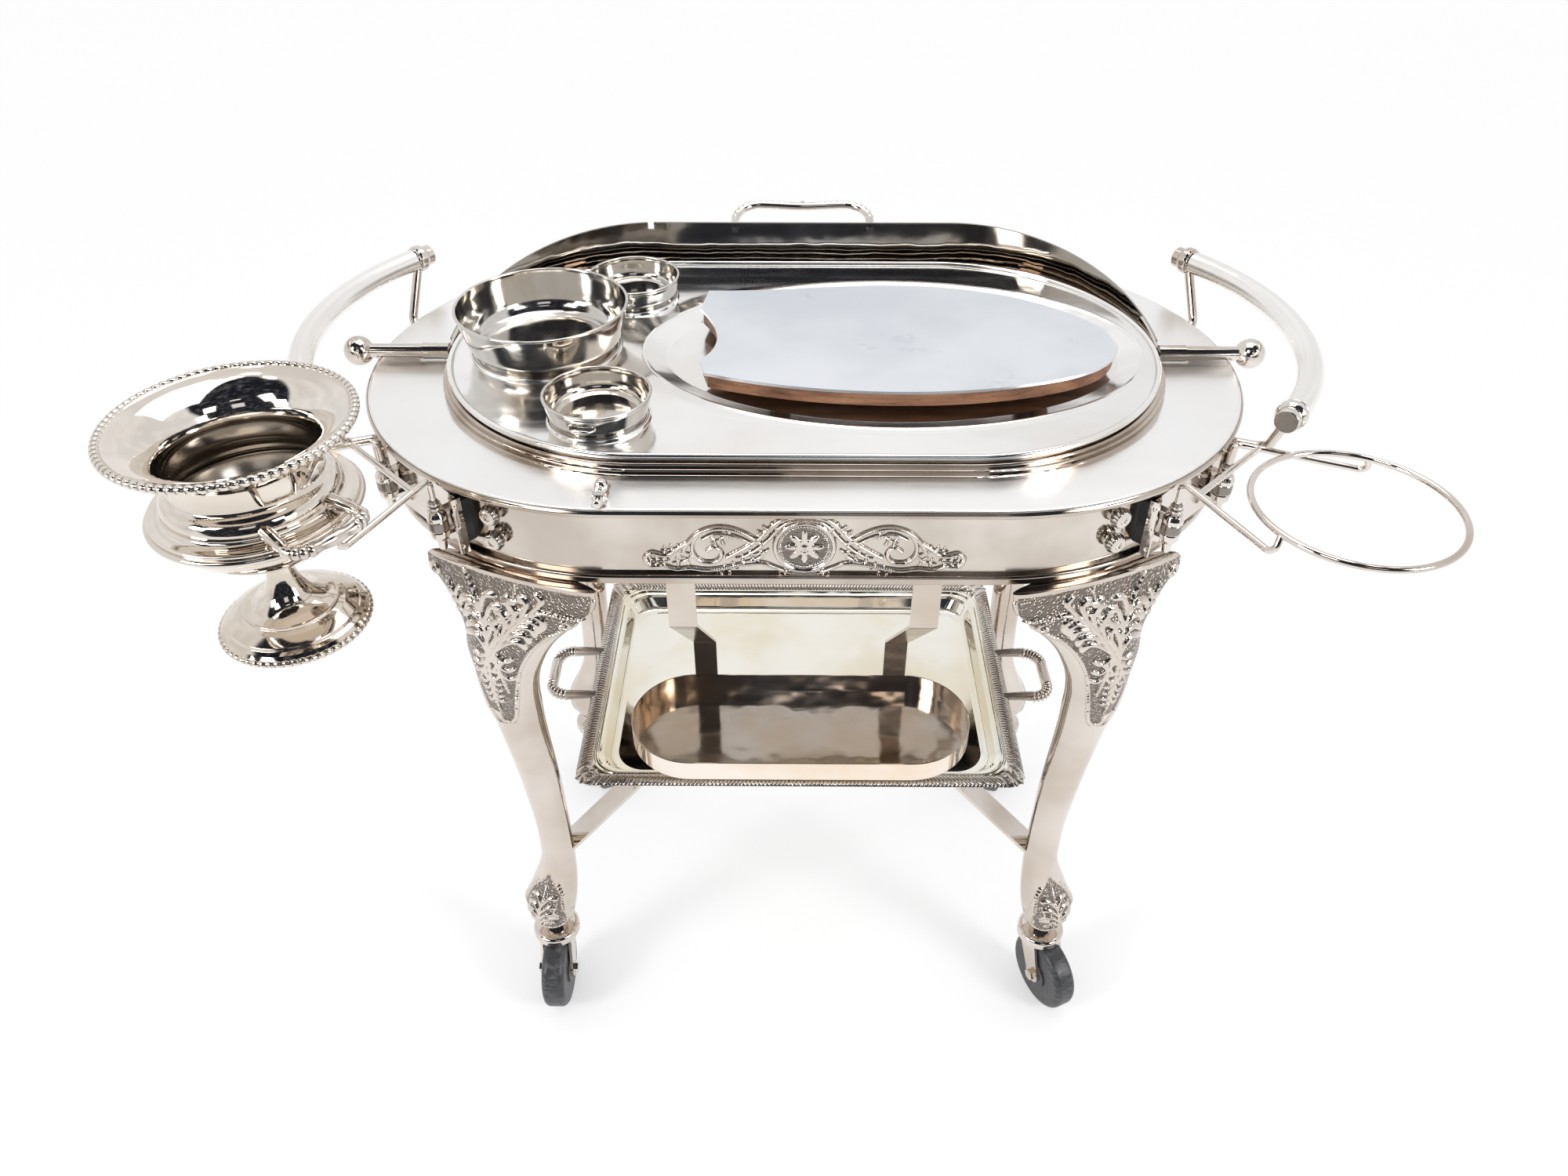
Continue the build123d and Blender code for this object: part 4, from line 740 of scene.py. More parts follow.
def leg(name, side, front):
    """A loft of ellipses up the leg. On the face that looks away from the trolley the surface is pushed
    out along the ellipse's normal by the relief and, between its leaves, set back to a pitted ground."""
    high = np.concatenate([
        np.linspace(0, 0.15, 78), np.linspace(0.16, 0.645, 36), np.linspace(0.65, 1.0, 216),
    ])
    along, out, width, depth = station(high).T[:, :, None]
    facing = np.linspace(0, pi, 209)
    back = np.linspace(pi, 2 * pi, 42)[1:-1]
    turn = np.concatenate([facing - 0.22 * np.sin(2 * facing), back])[None]
    z = LEG_FOOT[2] + high[:, None] * LEG_HEIGHT
    back_off = np.clip((z - 560) / 60, 0, 1)
    wide, deep = width * (KNEE_HALF[0] - 1.4 * back_off), depth * (KNEE_HALF[1] - 1.5 * back_off)
    tip = np.clip((78 + np.sqrt(np.clip(289 - np.clip(z - 740, 0, 17) ** 2, 0, None))) / wide, 0, 1)
    across, away = np.cos(turn), np.sin(turn)
    face = (away > -0.02) & (away < 1.1)
    wide = np.where((across > 0) & (z > 740), wide * tip, wide)
    s = across * wide
    z_all, s_all = z + 0 * s, s + 0 * z
    rims = [flowing(path) for path in KNEE_RIMS]
    inner = np.interp(z, rims[0][:60, 1][::-1], rims[0][:60, 0][::-1], left=2)
    outer = np.interp(z, rims[1][:, 1][::-1], rims[1][:, 0][::-1], left=2)
    within = np.minimum(s - inner, outer - s)
    inside_knee = np.clip(within / 2.5, 0, 1) * face * (z > 546) * np.clip((754 - z) / 3, 0, 1)
    knots, halves = (136, 142, 163, 194, 224), (0, 19, 24, 17, 0)
    foot_edge = 1.28 * np.interp(137 + (z - 137) / 1.2, knots, halves, left=-1, right=-1)
    inside_foot = np.clip((foot_edge - np.abs(s)) / 2.5, 0, 1) * face
    knee = knee_relief(s_all, z_all) * face * np.clip((756 - z) / 3, 0, 1) * (z > 535)
    foot = foot_relief(s_all, z_all) * face * (z < 252)
    rise = np.maximum(knee, foot)
    inside = np.maximum(inside_knee, inside_foot)
    flat = inside * np.clip(1 - rise / 0.6, 0, 1)
    normal = np.stack([across / wide, away / deep + 0 * wide])
    normal /= np.hypot(*normal)
    x = across * wide + (rise - 1.1 * inside) * normal[0]
    y = away * deep + (rise - 1.1 * inside) * normal[1]
    turned_x = side * cos(KNEE_TURN) * x + side * sin(KNEE_TURN) * y
    turned_y = -front * sin(KNEE_TURN) * x + front * cos(KNEE_TURN) * y
    points = np.stack(
        [
            side * (LEG_FOOT[0] + along * LEG_SWAY) + turned_x,
            front * (LEG_FOOT[1] + out * LEG_SWAY) + turned_y,
            z_all,
        ],
        -1,
    )
    low = points[:1].mean(1, keepdims=True) + 0 * points[:1]
    top = points[-1:].mean(1, keepdims=True) + 0 * points[-1:]
    # Painted shade: strong along the foot of each ridge on the set-back ground, faint over the rest of the
    # ground.
    beside = np.clip(1 - np.abs(rise - 0.7) / 0.9, 0, 1)
    shade_paint = np.clip(0.08 * flat + 0.80 * beside * inside, 0, 1)
    shape = Shape()
    shape.grid(
        np.concatenate([low, points, top]),
        (False, True),
        np.pad(shade_paint, ((1, 1), (0, 0))),
        np.pad(flat, ((1, 1), (0, 0))),
    )
    shape.piece("cast_" + name, "chassis", "leg", (name,), "leg_plate", 75)


for name, side, front in (
    ("leg_front_left", -1, -1),
    ("leg_front_right", 1, -1),
    ("leg_rear_left", -1, 1),
    ("leg_rear_right", 1, 1),
):
    leg(name, side, front)


# ---- Relief on the front of the skirt ----
SKIRT_FRONT = 264.0
MEDALLION_Z = 798.0


def front_relief():
    """A height field over the skirt's flat front. Scrolls, leaves and a round frame with a flower rise
    from it; where there is none of them the field dips inside the skirt's wall."""
    across = np.linspace(-148, 148, 430)[:, None]
    up = np.linspace(766.5, 830.5, 108)[None]
    u, w = np.abs(across) + 0 * up, up - MEDALLION_Z + 0 * across
    lines = []
    for path, width, tall in (
        ([(0, 33), (15, 31.5), (26, 25), (36, 13), (48, 2), (60, -6), (70, -12)], 3.0, 5.0),
        ([(0, 29.5), (12, 28), (22, 21), (32, 8), (44, -4), (56, -12)], 2.2, 4.2),
        ([(40, 4), (52, 13), (66, 19), (80, 20), (94, 15), (104, 5), (110, -6)], 3.0, 5.0),
        ([(46, 2), (58, 9), (70, 13), (82, 13), (92, 8)], 1.9, 4.0),
        ([(94, 15), (101, 2), (100, -10), (92, -18), (80, -17), (75, -8), (81, -1), (88, -5)], 2.6, 4.6),
        ([
            (104, 5), (114, -2), (122, -9), (130, -10), (139, -8), (145, -14), (141, -22), (132, -22),
        ], 2.8, 4.6),
        ([
            (0, -30), (14, -29), (26, -24), (38, -19), (54, -20), (70, -24), (88, -27), (104, -25),
            (118, -26), (130, -21),
        ], 2.6, 4.4),
        ([(33, -4), (42, -14), (54, -18)], 2.2, 3.6),
    ):
        path = flowing(path)
        lines.append((path, width * (0.7 + 0.3 * np.sin(np.linspace(0, pi, len(path)))), tall))
    for path, spread, pairs, width, tall in (
        ([(36, -6), (48, -10), (62, -13)], 7, 3, 1.6, 3.4),
        ([(66, 16), (76, 8), (84, 4)], 7, 3, 1.6, 3.2),
        ([(100, -8), (108, -16), (120, -19)], 6, 3, 1.5, 3.2),
        ([(60, -20), (70, -26), (80, -29)], 5, 3, 1.5, 3.2),
        ([(110, -2), (120, -4), (130, -5)], 5, 3, 1.5, 3.2),
        ([(124, -16), (134, -16), (144, -16)], 6, 3, 1.8, 3.8),
        ([(24, 24), (34, 18), (42, 12)], 5, 3, 1.5, 4.2),
        ([(4, -29), (14, -29), (24, -27)], 3.5, 4, 1.5, 3.4),
    ):
        lines += frond(path, spread, pairs, width, tall, 9)
    rise = strokes(u, w, lines)
    reach, turn = np.hypot(u, w), np.arctan2(w, u)
    frame = 5.4 * np.sqrt(np.clip(1 - ((reach - 26.5) / 2.6) ** 2, 0, 1))
    beads = 4.6 * np.sqrt(np.clip(1 - ((reach - 22.3) / 1.5) ** 2, 0, 1))
    beads = beads * (0.62 + 0.38 * np.abs(np.cos(26 * turn)))
    dish = np.where(reach < 25, 2.2 + 0.9 * (reach / 25) ** 2, 0)
    petal = np.clip(np.cos(8 * turn) * 0.28 + 0.78, 0, 1) * 17.5
    flower = 1.9 * np.sqrt(np.clip(1 - ((reach - 0.52 * petal) / (0.5 * petal + 0.01)) ** 2, 0, 1))
    flower += 0.5 * np.abs(np.cos(16 * turn)) * (reach > 5) * (reach < petal)
    button = 3.2 * np.sqrt(np.clip(1 - (reach / 4.2) ** 2, 0, 1))
    rise = np.maximum.reduce([rise, frame, beads, dish + flower, dish + button])
    shape = Shape()
    skin = np.stack([across + 0 * up, -SKIRT_FRONT + 0.9 - rise, up + 0 * across], -1)
    back = np.stack([across + 0 * up, -SKIRT_FRONT + 1.3 + 0 * rise, up + 0 * across], -1)
    slope = np.hypot(*np.gradient(rise, across[1, 0] - across[0, 0], up[0, 1] - up[0, 0]))
    # Painted shade: darkest on the low ground between the ornaments, also on steep flanks and in the
    # medallion's dish.
    shade_paint = 0.95 * np.clip(1 - rise / 2.8, 0, 1) + 0.3 * (slope > 1.6)
    shade_paint = np.clip(shade_paint + 0.5 * (reach < 24) * (dish + flower < 3.2), 0, 0.95)
    shape.slab(skin, back, shade_paint, (reach < 21) & (flower < 0.1))
    shape.piece("front_scrolls", "chassis", "relief", ("front_ornament",), "relief_plate", 60)


def nuts():
    """Knurled thumb nuts: a round knob whose radius ripples in two slanting directions, on a washer."""
    shape = Shape()
    for side in (-1, 1):
        angle = radians(66)
        way = np.array([side * cos(angle), -sin(angle), 0.0])
        level = np.array([-way[1], way[0], 0.0])
        upward = np.array([0.0, 0.0, 1.0])
        for z in (819.0, 791.0):
            seat = np.array([side * PLAN_STRAIGHT, 0.0, z]) + way * (SKIRT_FRONT - 0.8)
            line = rounded([
                (0, 0), (7.6, 0), (7.6, 2.6, 0.5), (5.4, 3.0), (6.6, 3.4, 0.6), (9.9, 5.4, 2.2),
                (10.2, 9.5, 1.5), (8.4, 13.2, 2.4), (3.4, 13.9, 0.6), (3.2, 12.6), (0, 12.6),
            ], 6)
            radius, high = line.T[:, :, None]
            turn = circle(96)[None]
            knurl = (high > 4.2) * (high < 13.2) * (radius > 6)
            bumps = np.abs(np.sin(7 * turn + 0.9 * high)) * np.abs(np.sin(7 * turn - 0.9 * high + 1.2))
            size = radius - 0.8 * knurl * (1 - bumps**0.6)
            points = seat + high[..., None] * way + size[..., None] * (
                np.cos(turn)[..., None] * level + np.sin(turn)[..., None] * upward
            )
            # Painted shade, deepest in the knurling's valleys and faint over the whole nut.
            shape.grid(points, (False, True), 0.85 * knurl * (1 - bumps) + 0.15)
    shape.piece("knurled_nuts", "chassis", "relief", ("thumb_nuts",), "relief_plate", 50)


front_relief()
nuts()


# ---- Wine cooler: flared cup, foot and two cast handles ----
RING_REACH = 413.0
URN = (-PLAN_STRAIGHT - RING_REACH * cos(pi / 4), -RING_REACH * sin(pi / 4))


def cooler():
    """Profiles turned about the cooler's axis: an outer and an inner skin, with twisted ropes at the
    rim and the foot."""
    under = flowing([(17, 806), (38.5, 815.4), (68.4, 838.5), (79.0, 855), (82.2, 864)])
    bead = rounded([(82.2, 864), (85.4, 864.4, 1.4), (85.5, 868.2, 1.4), (83.6, 868.8)], 7)
    above = flowing([
        (84.4, 869.2), (78, 870.2), (73.4, 873), (73.0, 879), (70, 885.4), (64.4, 889.5), (62.0, 893),
        (61.2, 902), (62.6, 912), (66.6, 921), (73.4, 929), (82.4, 935.6), (91, 939.4), (97, 940.6),
    ], 6)
    outer = np.concatenate([[(0, 806)], under, bead[1:], above])
    lip = rounded([(97, 940.6), (98.4, 942.6), (95.4, 943.2, 0.4), (94.6, 942.2), (93.8, 942.9)], 4)
    inner = flowing([
        (92.4, 942.2), (82.2, 938.0), (72.4, 931.0), (65.2, 922.6), (61.1, 912.6), (59.7, 902),
        (60.4, 892.6), (63.4, 887.8), (68.6, 884.2), (71.4, 878.4), (71.6, 872.6), (78.4, 868),
        (80.4, 862), (66.4, 841), (38, 817.4), (0, 808),
    ], 7)
    # Painted shade inside the cup, darker towards its bottom.
    shade = np.clip((926 - inner[:, 1]) / 60, 0, 0.6)
    profile = np.concatenate([outer, lip[1:], inner])
    shade_paint = np.concatenate([np.zeros(len(outer) + len(lip) - 1), shade])
    shape = Shape()
    shape.grid(carried(profile, 0, URN, 168), (False, False), shade_paint[:, None])
    rim, dark = rope(98.0, 940.9, 4.0, 84, URN)
    shape.grid(rim, (True, True), dark)
    shape.piece("cooler_cup", "urn", "urn", ("urn_body",), "urn_plate")

    stem = rounded([(0, 806), (13.6, 806, 0), (14.6, 804.4, 1.2), (13.6, 801.8, 1.0), (11.4, 801)], 5)
    sweep = flowing([(11.3, 799), (12.2, 790), (15.6, 779), (22, 768), (31, 760.5), (40.5, 756.2)])
    steps = rounded([
        (40.5, 756.2), (41.6, 756.2, 0.4), (41.8, 753.4, 0.5), (47, 751.6, 12), (57.4, 746.4, 1.2),
        (58.2, 743.4, 0.8), (62, 741.4, 1.5), (65, 738.6), (65.2, 733), (63, 731.1), (0, 731.1),
    ], 5)
    shape = Shape()
    shape.grid(carried(np.concatenate([stem, sweep, steps]), 0, URN, 144), (False, False))
    rim, dark = rope(64.2, 735.2, 3.9, 58, URN)
    shape.grid(rim, (True, True), dark)
    shape.piece("cooler_foot", "urn", "urn", ("urn_foot",), "urn_plate")

    shape = Shape()
    for turn in (radians(-38), radians(142)):
        out = np.array([cos(turn), sin(turn), 0.0])
        along = np.array([-sin(turn), cos(turn), 0.0])
        centre = np.array([URN[0], URN[1], 879.0])
        corners = [centre + out * 70 - along * 30, centre + out * 118.2 - along * 35.5]
        corners += [centre + out * 118.2 + along * 35.5, centre + out * 70 + along * 30]
        path = resampled(bent(corners, 15, 26), 260)
        run = measured(path)
        share = run / run[-1]
        middle = np.abs(share - 0.5)
        rib = 3.9 + 1.9 * np.abs(np.sin(share * pi * 26)) ** 0.6
        leaf = 3.3 + 2.2 * np.abs(np.sin(share * pi * 11)) ** 1.5
        size = np.where(middle < 0.23, rib, leaf)
        size[:3] = size[-3:] = 6.2
        knot = (np.abs(middle - 0.24) < 0.012) | (np.abs(middle - 0.33) < 0.012)
        size = np.where(knot, 6.0, size)
        ring = tube(path, size, (0, 0, 1), 18)
        # Painted shade in the narrow waists between the ribs and leaves.
        shade_paint = np.clip((5.4 - size) / 1.8, 0, 0.9)
        shape.grid(ring, (False, True), np.concatenate([[0], shade_paint, [0]])[:, None])
    shape.piece("cooler_handles", "urn", "relief", ("urn_handles",), "urn_plate")


cooler()


# ---- Bowls on the insert ----
def bowl(name, body, node, centre, rim, top, wall, flange, grips):
    """A turned shell: flat flange, tapering wall with a groove, rolled lip; small ones have two scrolls."""
    base, deck = 860.6, 863.0
    side = flowing([
        (wall, deck + 0.4), (wall + 0.45 * (rim - wall), deck + 0.22 * (top - deck)),
        (wall + 0.64 * (rim - wall), deck + 0.45 * (top - deck)),
        (wall + 0.84 * (rim - wall), deck + 0.78 * (top - deck)), (rim - 1.9, top - 3.2),
    ])
    foot = rounded([
        (0, base), (flange, base, 0.8), (flange, deck, 0.8), (flange - 3, deck + 0.3, 1.0),
        (wall + 2, deck - 0.3, 0.8),
    ], 5)
    roll = rounded([
        (rim - 1.9, top - 3.2), (rim - 0.1, top - 2.8, 1.2), (rim - 0.1, top - 0.1, 1.4),
        (rim - 3.2, top - 0.1, 1.3), (rim - 3.3, top - 2.6),
    ], 7)
    inside = side[::-1][1:] - np.array([1.4, 0])
    floor_line = rounded([(wall - 1.6, deck + 3.0), (wall - 6, deck + 0.7, 4), (0, deck + 0.2)], 6)
    profile = np.concatenate([foot, side, roll[1:], inside[inside[:, 1] > deck + 3.2], floor_line])
    shape = Shape()
    shape.grid(carried(profile, 0, centre, 128))
    for turn in (0, pi) if grips else ():
        angle = turn + radians(80)
        out = np.array([cos(angle), sin(angle), 0.0])
        along = np.array([-sin(angle), cos(angle), 0.0])
        middle = np.array([*centre, (deck + top) / 2])
        near = 0.62 * (rim - wall) + wall - 1
        path = bent([
            middle + out * near - along * 12, middle + out * (wall + 11) - along * 12,
            middle + out * (wall + 11) + along * 12, middle + out * near + along * 12,
        ], 6, 9)
        size = 1.45 + 0.5 * np.cos(np.linspace(0, 4 * pi, len(path)))
        shape.grid(tube(path, size, (0, 0, 1), 14), (False, True))
    shape.piece(name, body, "bowl", (node,), "bowl_plate")


bowl("bowl_large_shell", "large_bowl", "bowl_large", (-269.0, 0.0), 89.0, 910.0, 70.0, 76.0, False)
bowl(
    "bowl_front_shell", "front_bowl", "bowl_small_front", (-195.0, -144.0), 52.0, 888.0, 43.0, 47.0, True,
)
bowl("bowl_rear_shell", "rear_bowl", "bowl_small_rear", (-190.0, 122.0), 52.0, 888.0, 43.0, 47.0, True)


# ---- Serving tray ----
TRAY_HALF = (272.0, 196.0)
TRAY_Y = 20.0


def plan_corner(inset, round_out, steps):
    """A rectangle drawn in by the inset with round corners, as points that keep their share of the
    outline whatever the inset: four arcs joined by straight runs."""
    half_x, half_y = TRAY_HALF[0] - inset, TRAY_HALF[1] - inset
    sides = []
    for i, (sx, sy) in enumerate(((1, -1), (1, 1), (-1, 1), (-1, -1))):
        turn = np.linspace(-pi / 2, 0, 15) + i * pi / 2
        mx, my = sx * (half_x - round_out), sy * (half_y - round_out)
        arc = np.stack([mx + round_out * np.cos(turn), my + round_out * np.sin(turn)], -1)
        sides.append(arc)
    whole = []
    for i, arc in enumerate(sides):
        after = sides[(i + 1) % 4][0]
        count = steps[i % 2]
        whole += [arc, arc[-1] + (after - arc[-1]) * np.linspace(0, 1, count + 1)[1:-1, None]]
    return np.concatenate(whole)


def tray():
    """The tray's skins are swept round its plan. The border's height follows slanting gadroons, which
    turn into fans of shell ribs at the four corners."""
    steps = (330, 470)
    rows = [
        (18.5, 20, 371.2), (17.5, 20, 374.2), (16, 21, 375.8), (12.5, 22, 377.2), (9, 22, 377.9),
        (5.5, 22, 377.6), (2.4, 22, 376.2), (0.6, 22, 374.4), (0.2, 22, 372.9), (2.2, 22, 371.9),
        (10, 22, 371.7),
    ]
    count = len(plan_corner(0, 22, steps))
    share = np.arange(count) / count
    lobes = 372
    grids, shade_paints = [], []
    for i, (inset, corner, z) in enumerate(rows):
        plan = plan_corner(inset, corner, steps)
        wave = np.abs(np.sin(pi * lobes * share + 0.42 * i))
        live = 1.0 if 2 <= i <= 7 else 0.0
        drop = live * 1.5 * (1 - wave**0.7)
        grids.append(np.stack([plan[:, 0], plan[:, 1] + TRAY_Y, z - drop], -1))
        # Painted shade: a little over the whole border, more in the gadroons' valleys.
        shade_paints.append(0.12 + live * np.clip(1.15 - 1.5 * wave, 0, 0.85))
    shape = Shape()
    shape.grid(np.stack(grids), (True, True), np.stack(shade_paints))
    for sx in (-1, 1):
        for sy in (-1, 1):
            turn = circle(72)[None]
            reach = np.linspace(0, 1, 16)[:, None]
            radius = 13.5 * reach * (1 + 0.10 * np.cos(9 * turn) * reach)
            x = sx * (TRAY_HALF[0] - 15) + radius * np.cos(turn)
            y = TRAY_Y + sy * (TRAY_HALF[1] - 15) + radius * np.sin(turn)
            rib = np.abs(np.cos(4.5 * (turn - np.arctan2(sy, sx))))
            z = 374.9 + 3.4 * (1 - reach**4) * (0.45 + 0.55 * rib) * (0.35 + 0.65 * reach)
            under = np.stack([x[-1], y[-1], 0 * x[-1] + 373.5], -1)
            top = np.concatenate([np.stack([x, y, z], -1), under[None], under.mean(0) + 0 * under[None]])
            shade = np.pad(np.clip(0.95 - rib, 0, 1) * (reach > 0.15), ((0, 2), (0, 0)))
            shape.grid(top, (False, True), shade)
    shape.piece("tray_gadroons", "tray", "relief", ("tray_border",), "tray_metal")

    line = rounded([
        (10, 372.4), (18.6, 372.6, 1), (19.6, 374.0, 0.8), (21.4, 374.0, 1), (23.4, 371.2, 1.2),
        (26.4, 370.4, 1.2), (29.2, 367.6, 1.5), (36.5, 353.6, 7), (44, 352, 3), (70, 352),
    ], 7)
    upper = [(inset, 20 + min(inset, 24) * 0.6, z) for inset, z in line]
    sheets = []
    for inset, corner, z in upper:
        plan = plan_corner(inset, corner, (12, 12))
        sheets.append(np.stack([plan[:, 0], plan[:, 1] + TRAY_Y, z + 0 * plan[:, 0]], -1))
    top = np.stack(sheets)
    middle = top[-1].mean(0) + 0 * top[-1:]
    below = top[::-1] - np.array([0, 0, 1.9])
    shape = Shape()
    ends = (middle, top[::-1], below[::-1], middle - np.array([0, 0, 1.9]))
    shape.grid(np.concatenate(ends), (False, True))
    shape.piece("tray_pan", "tray", "tray", ("tray_body",), "tray_metal")

    shape = Shape()
    for side in (-1, 1):
        corners = [
            (side * 266, TRAY_Y - 42, 374.5), (side * 325.5, TRAY_Y - 42, 374.5),
            (side * 325.5, TRAY_Y + 42, 374.5), (side * 266, TRAY_Y + 42, 374.5),
        ]
        path = resampled(bent(corners, 22, 30), 240)
        share = np.linspace(0, 1, len(path))
        lobe = np.abs(np.sin(share * pi * 15))
        size = 4.9 + 3.4 * lobe**0.8
        turn = circle(20)
        ring = tube(path, size, (0, 0, 1), 20, 0.92)
        twist = 0.9 * np.sin(share[:, None] * 2 * pi * 15 + 3 * turn)
        away = ring[1:-1] - path[:, None]
        ring[1:-1] = path[:, None] + away * (1 + 0.14 * twist[..., None] / 0.9) / 1.14
        # Painted shade between the lobes and on one side of each twist.
        shade_paint = 0.25 + 0.8 * np.clip(0.8 - lobe, 0, 1)
        shape.grid(ring, (False, True), np.pad(shade_paint[:, None] - 0.2 * twist, ((1, 1), (0, 0))).clip(0, 1))
    shape.piece("tray_grips", "tray", "relief", ("tray_handles",), "tray_metal")


tray()


# ---- Insert: beaded edge, plate, well and three low rings for the bowls ----
INSERT_STRAIGHT = 150.0
WELL_X = 93.0
WELL_HALF = np.array([260.0, 163.0])
INSERT_EDGE = [
    (212, 858.6), (218, 858.6, 1.5), (218, 864.5, 2.9), (212.2, 864.5, 2.9), (212, 860.6, 0.8),
    (206, 860.6),
]
WELL_LINE = [
    (-3, 860.6), (-1.2, 861.5, 0.8), (0.6, 861.3, 0.8), (3, 860.2, 1.5), (24, 852.9, 9), (40, 852.6),
]
BOWL_SEATS = (((-269.0, 0.0), 76.3), ((-195.0, -144.0), 47.3), ((-190.0, 122.0), 47.3))


def insert_sheet():
    """Rows of points all run round the same way. Outside they are a plan with two straight sides; inside
    the well they are ellipses, met where a ray from the well's middle cuts them; the plate lies between.
    The underside is the same rows, one sheet lower."""
    arc = np.linspace(-pi / 2, pi / 2, 121)
    run = np.linspace(INSERT_STRAIGHT, -INSERT_STRAIGHT, 62)[1:-1]
    ends = np.full(121, INSERT_STRAIGHT)
    core = np.concatenate([ends, run, -ends, -run])
    turn = np.concatenate([arc, 0 * run + pi / 2, arc + pi, 0 * run - pi / 2])

    def outside(radius, z):
        return np.stack([core + radius * np.cos(turn), radius * np.sin(turn), z + 0 * core], -1)

    last = outside(206, 860.6)
    ray = np.arctan2(last[:, 1], last[:, 0] - WELL_X)

    def ellipse(inset, z):
        half = WELL_HALF - inset
        reach = 1 / np.hypot(np.cos(ray) / half[0], np.sin(ray) / half[1])
        return np.stack([WELL_X + reach * np.cos(ray), reach * np.sin(ray), z + 0 * ray], -1)

    edge = np.stack([outside(r, z) for r, z in rounded(INSERT_EDGE, 7)])
    well = np.stack([ellipse(inset, z) for inset, z in rounded(WELL_LINE, 7)])
    share = np.linspace(0, 1, 7)[1:-1, None, None]
    plate = (1 - share) * last + share * well[0]
    middle = np.array([WELL_X, 0, 852.6]) + 0 * last[None]
    top = np.concatenate([edge, plate, well, middle])
    drop = np.array([0, 0, 1.9])
    below = np.concatenate([plate, well, middle])[::-1] - drop
    shape = Shape()
    shape.grid(np.concatenate([top, below]), (False, True))
    shape.grid(np.stack([edge[0], plate[0] - drop]), (False, True))
    for centre, inner in BOWL_SEATS:
        seat = rounded([
            (inner, 860.5), (inner, 863.5, 0.9), (inner + 1.6, 863.5, 0.9), (inner + 3, 860.5),
        ], 6)
        # Painted shade on each seat ring, darkest at its inner foot.
        shape.grid(carried(seat, 0, centre, 96), (True, False), np.linspace(0.3, 0, len(seat))[:, None])
    shape.piece("insert_sheet", "insert", "insert", ("insert_plate",), "insert_metal")


insert_sheet()


# ---- Small turned and bent fittings ----
def turned(profile, origin, way, steps=40):
    """A profile of (radius, distance) rows turned about an axis through the origin."""
    way = np.asarray(way, float) / np.linalg.norm(way)
    side = np.cross(way, (0, 0, 1) if abs(way[2]) < 0.9 else (1, 0, 0))
    side /= np.linalg.norm(side)
    other = np.cross(way, side)
    turn = circle(steps)[None, :, None]
    radius, reach = (np.asarray(profile)[:, i, None, None] for i in (0, 1))
    return np.asarray(origin) + reach * way + radius * (np.cos(turn) * side + np.sin(turn) * other)


def block(centre, half, round_out, steps=6):
    """A box whose plan has round corners and whose top and bottom edges are eased."""
    ease = min(0.5, 0.4 * half[2])
    turn = circle(4 * steps) + pi / 4 / steps
    out = np.stack([np.sign(np.cos(turn)), np.sign(np.sin(turn))])
    rows = []
    for inset, z in (
        (half[0], half[2]), (ease, half[2]), (0, half[2] - ease), (0, ease - half[2]), (ease, -half[2]),
        (half[0], -half[2]),
    ):
        corner = max(round_out - inset, 0.01)
        if inset == half[0]:
            rows.append(np.stack([0 * turn, 0 * turn, z + 0 * turn], -1))
            continue
        x = out[0] * (half[0] - inset - corner) + corner * np.cos(turn)
        y = out[1] * (half[1] - inset - corner) + corner * np.sin(turn)
        rows.append(np.stack([x, y, z + 0 * turn], -1))
    return np.stack(rows) + np.asarray(centre)


DOME_RADIUS = 239.0


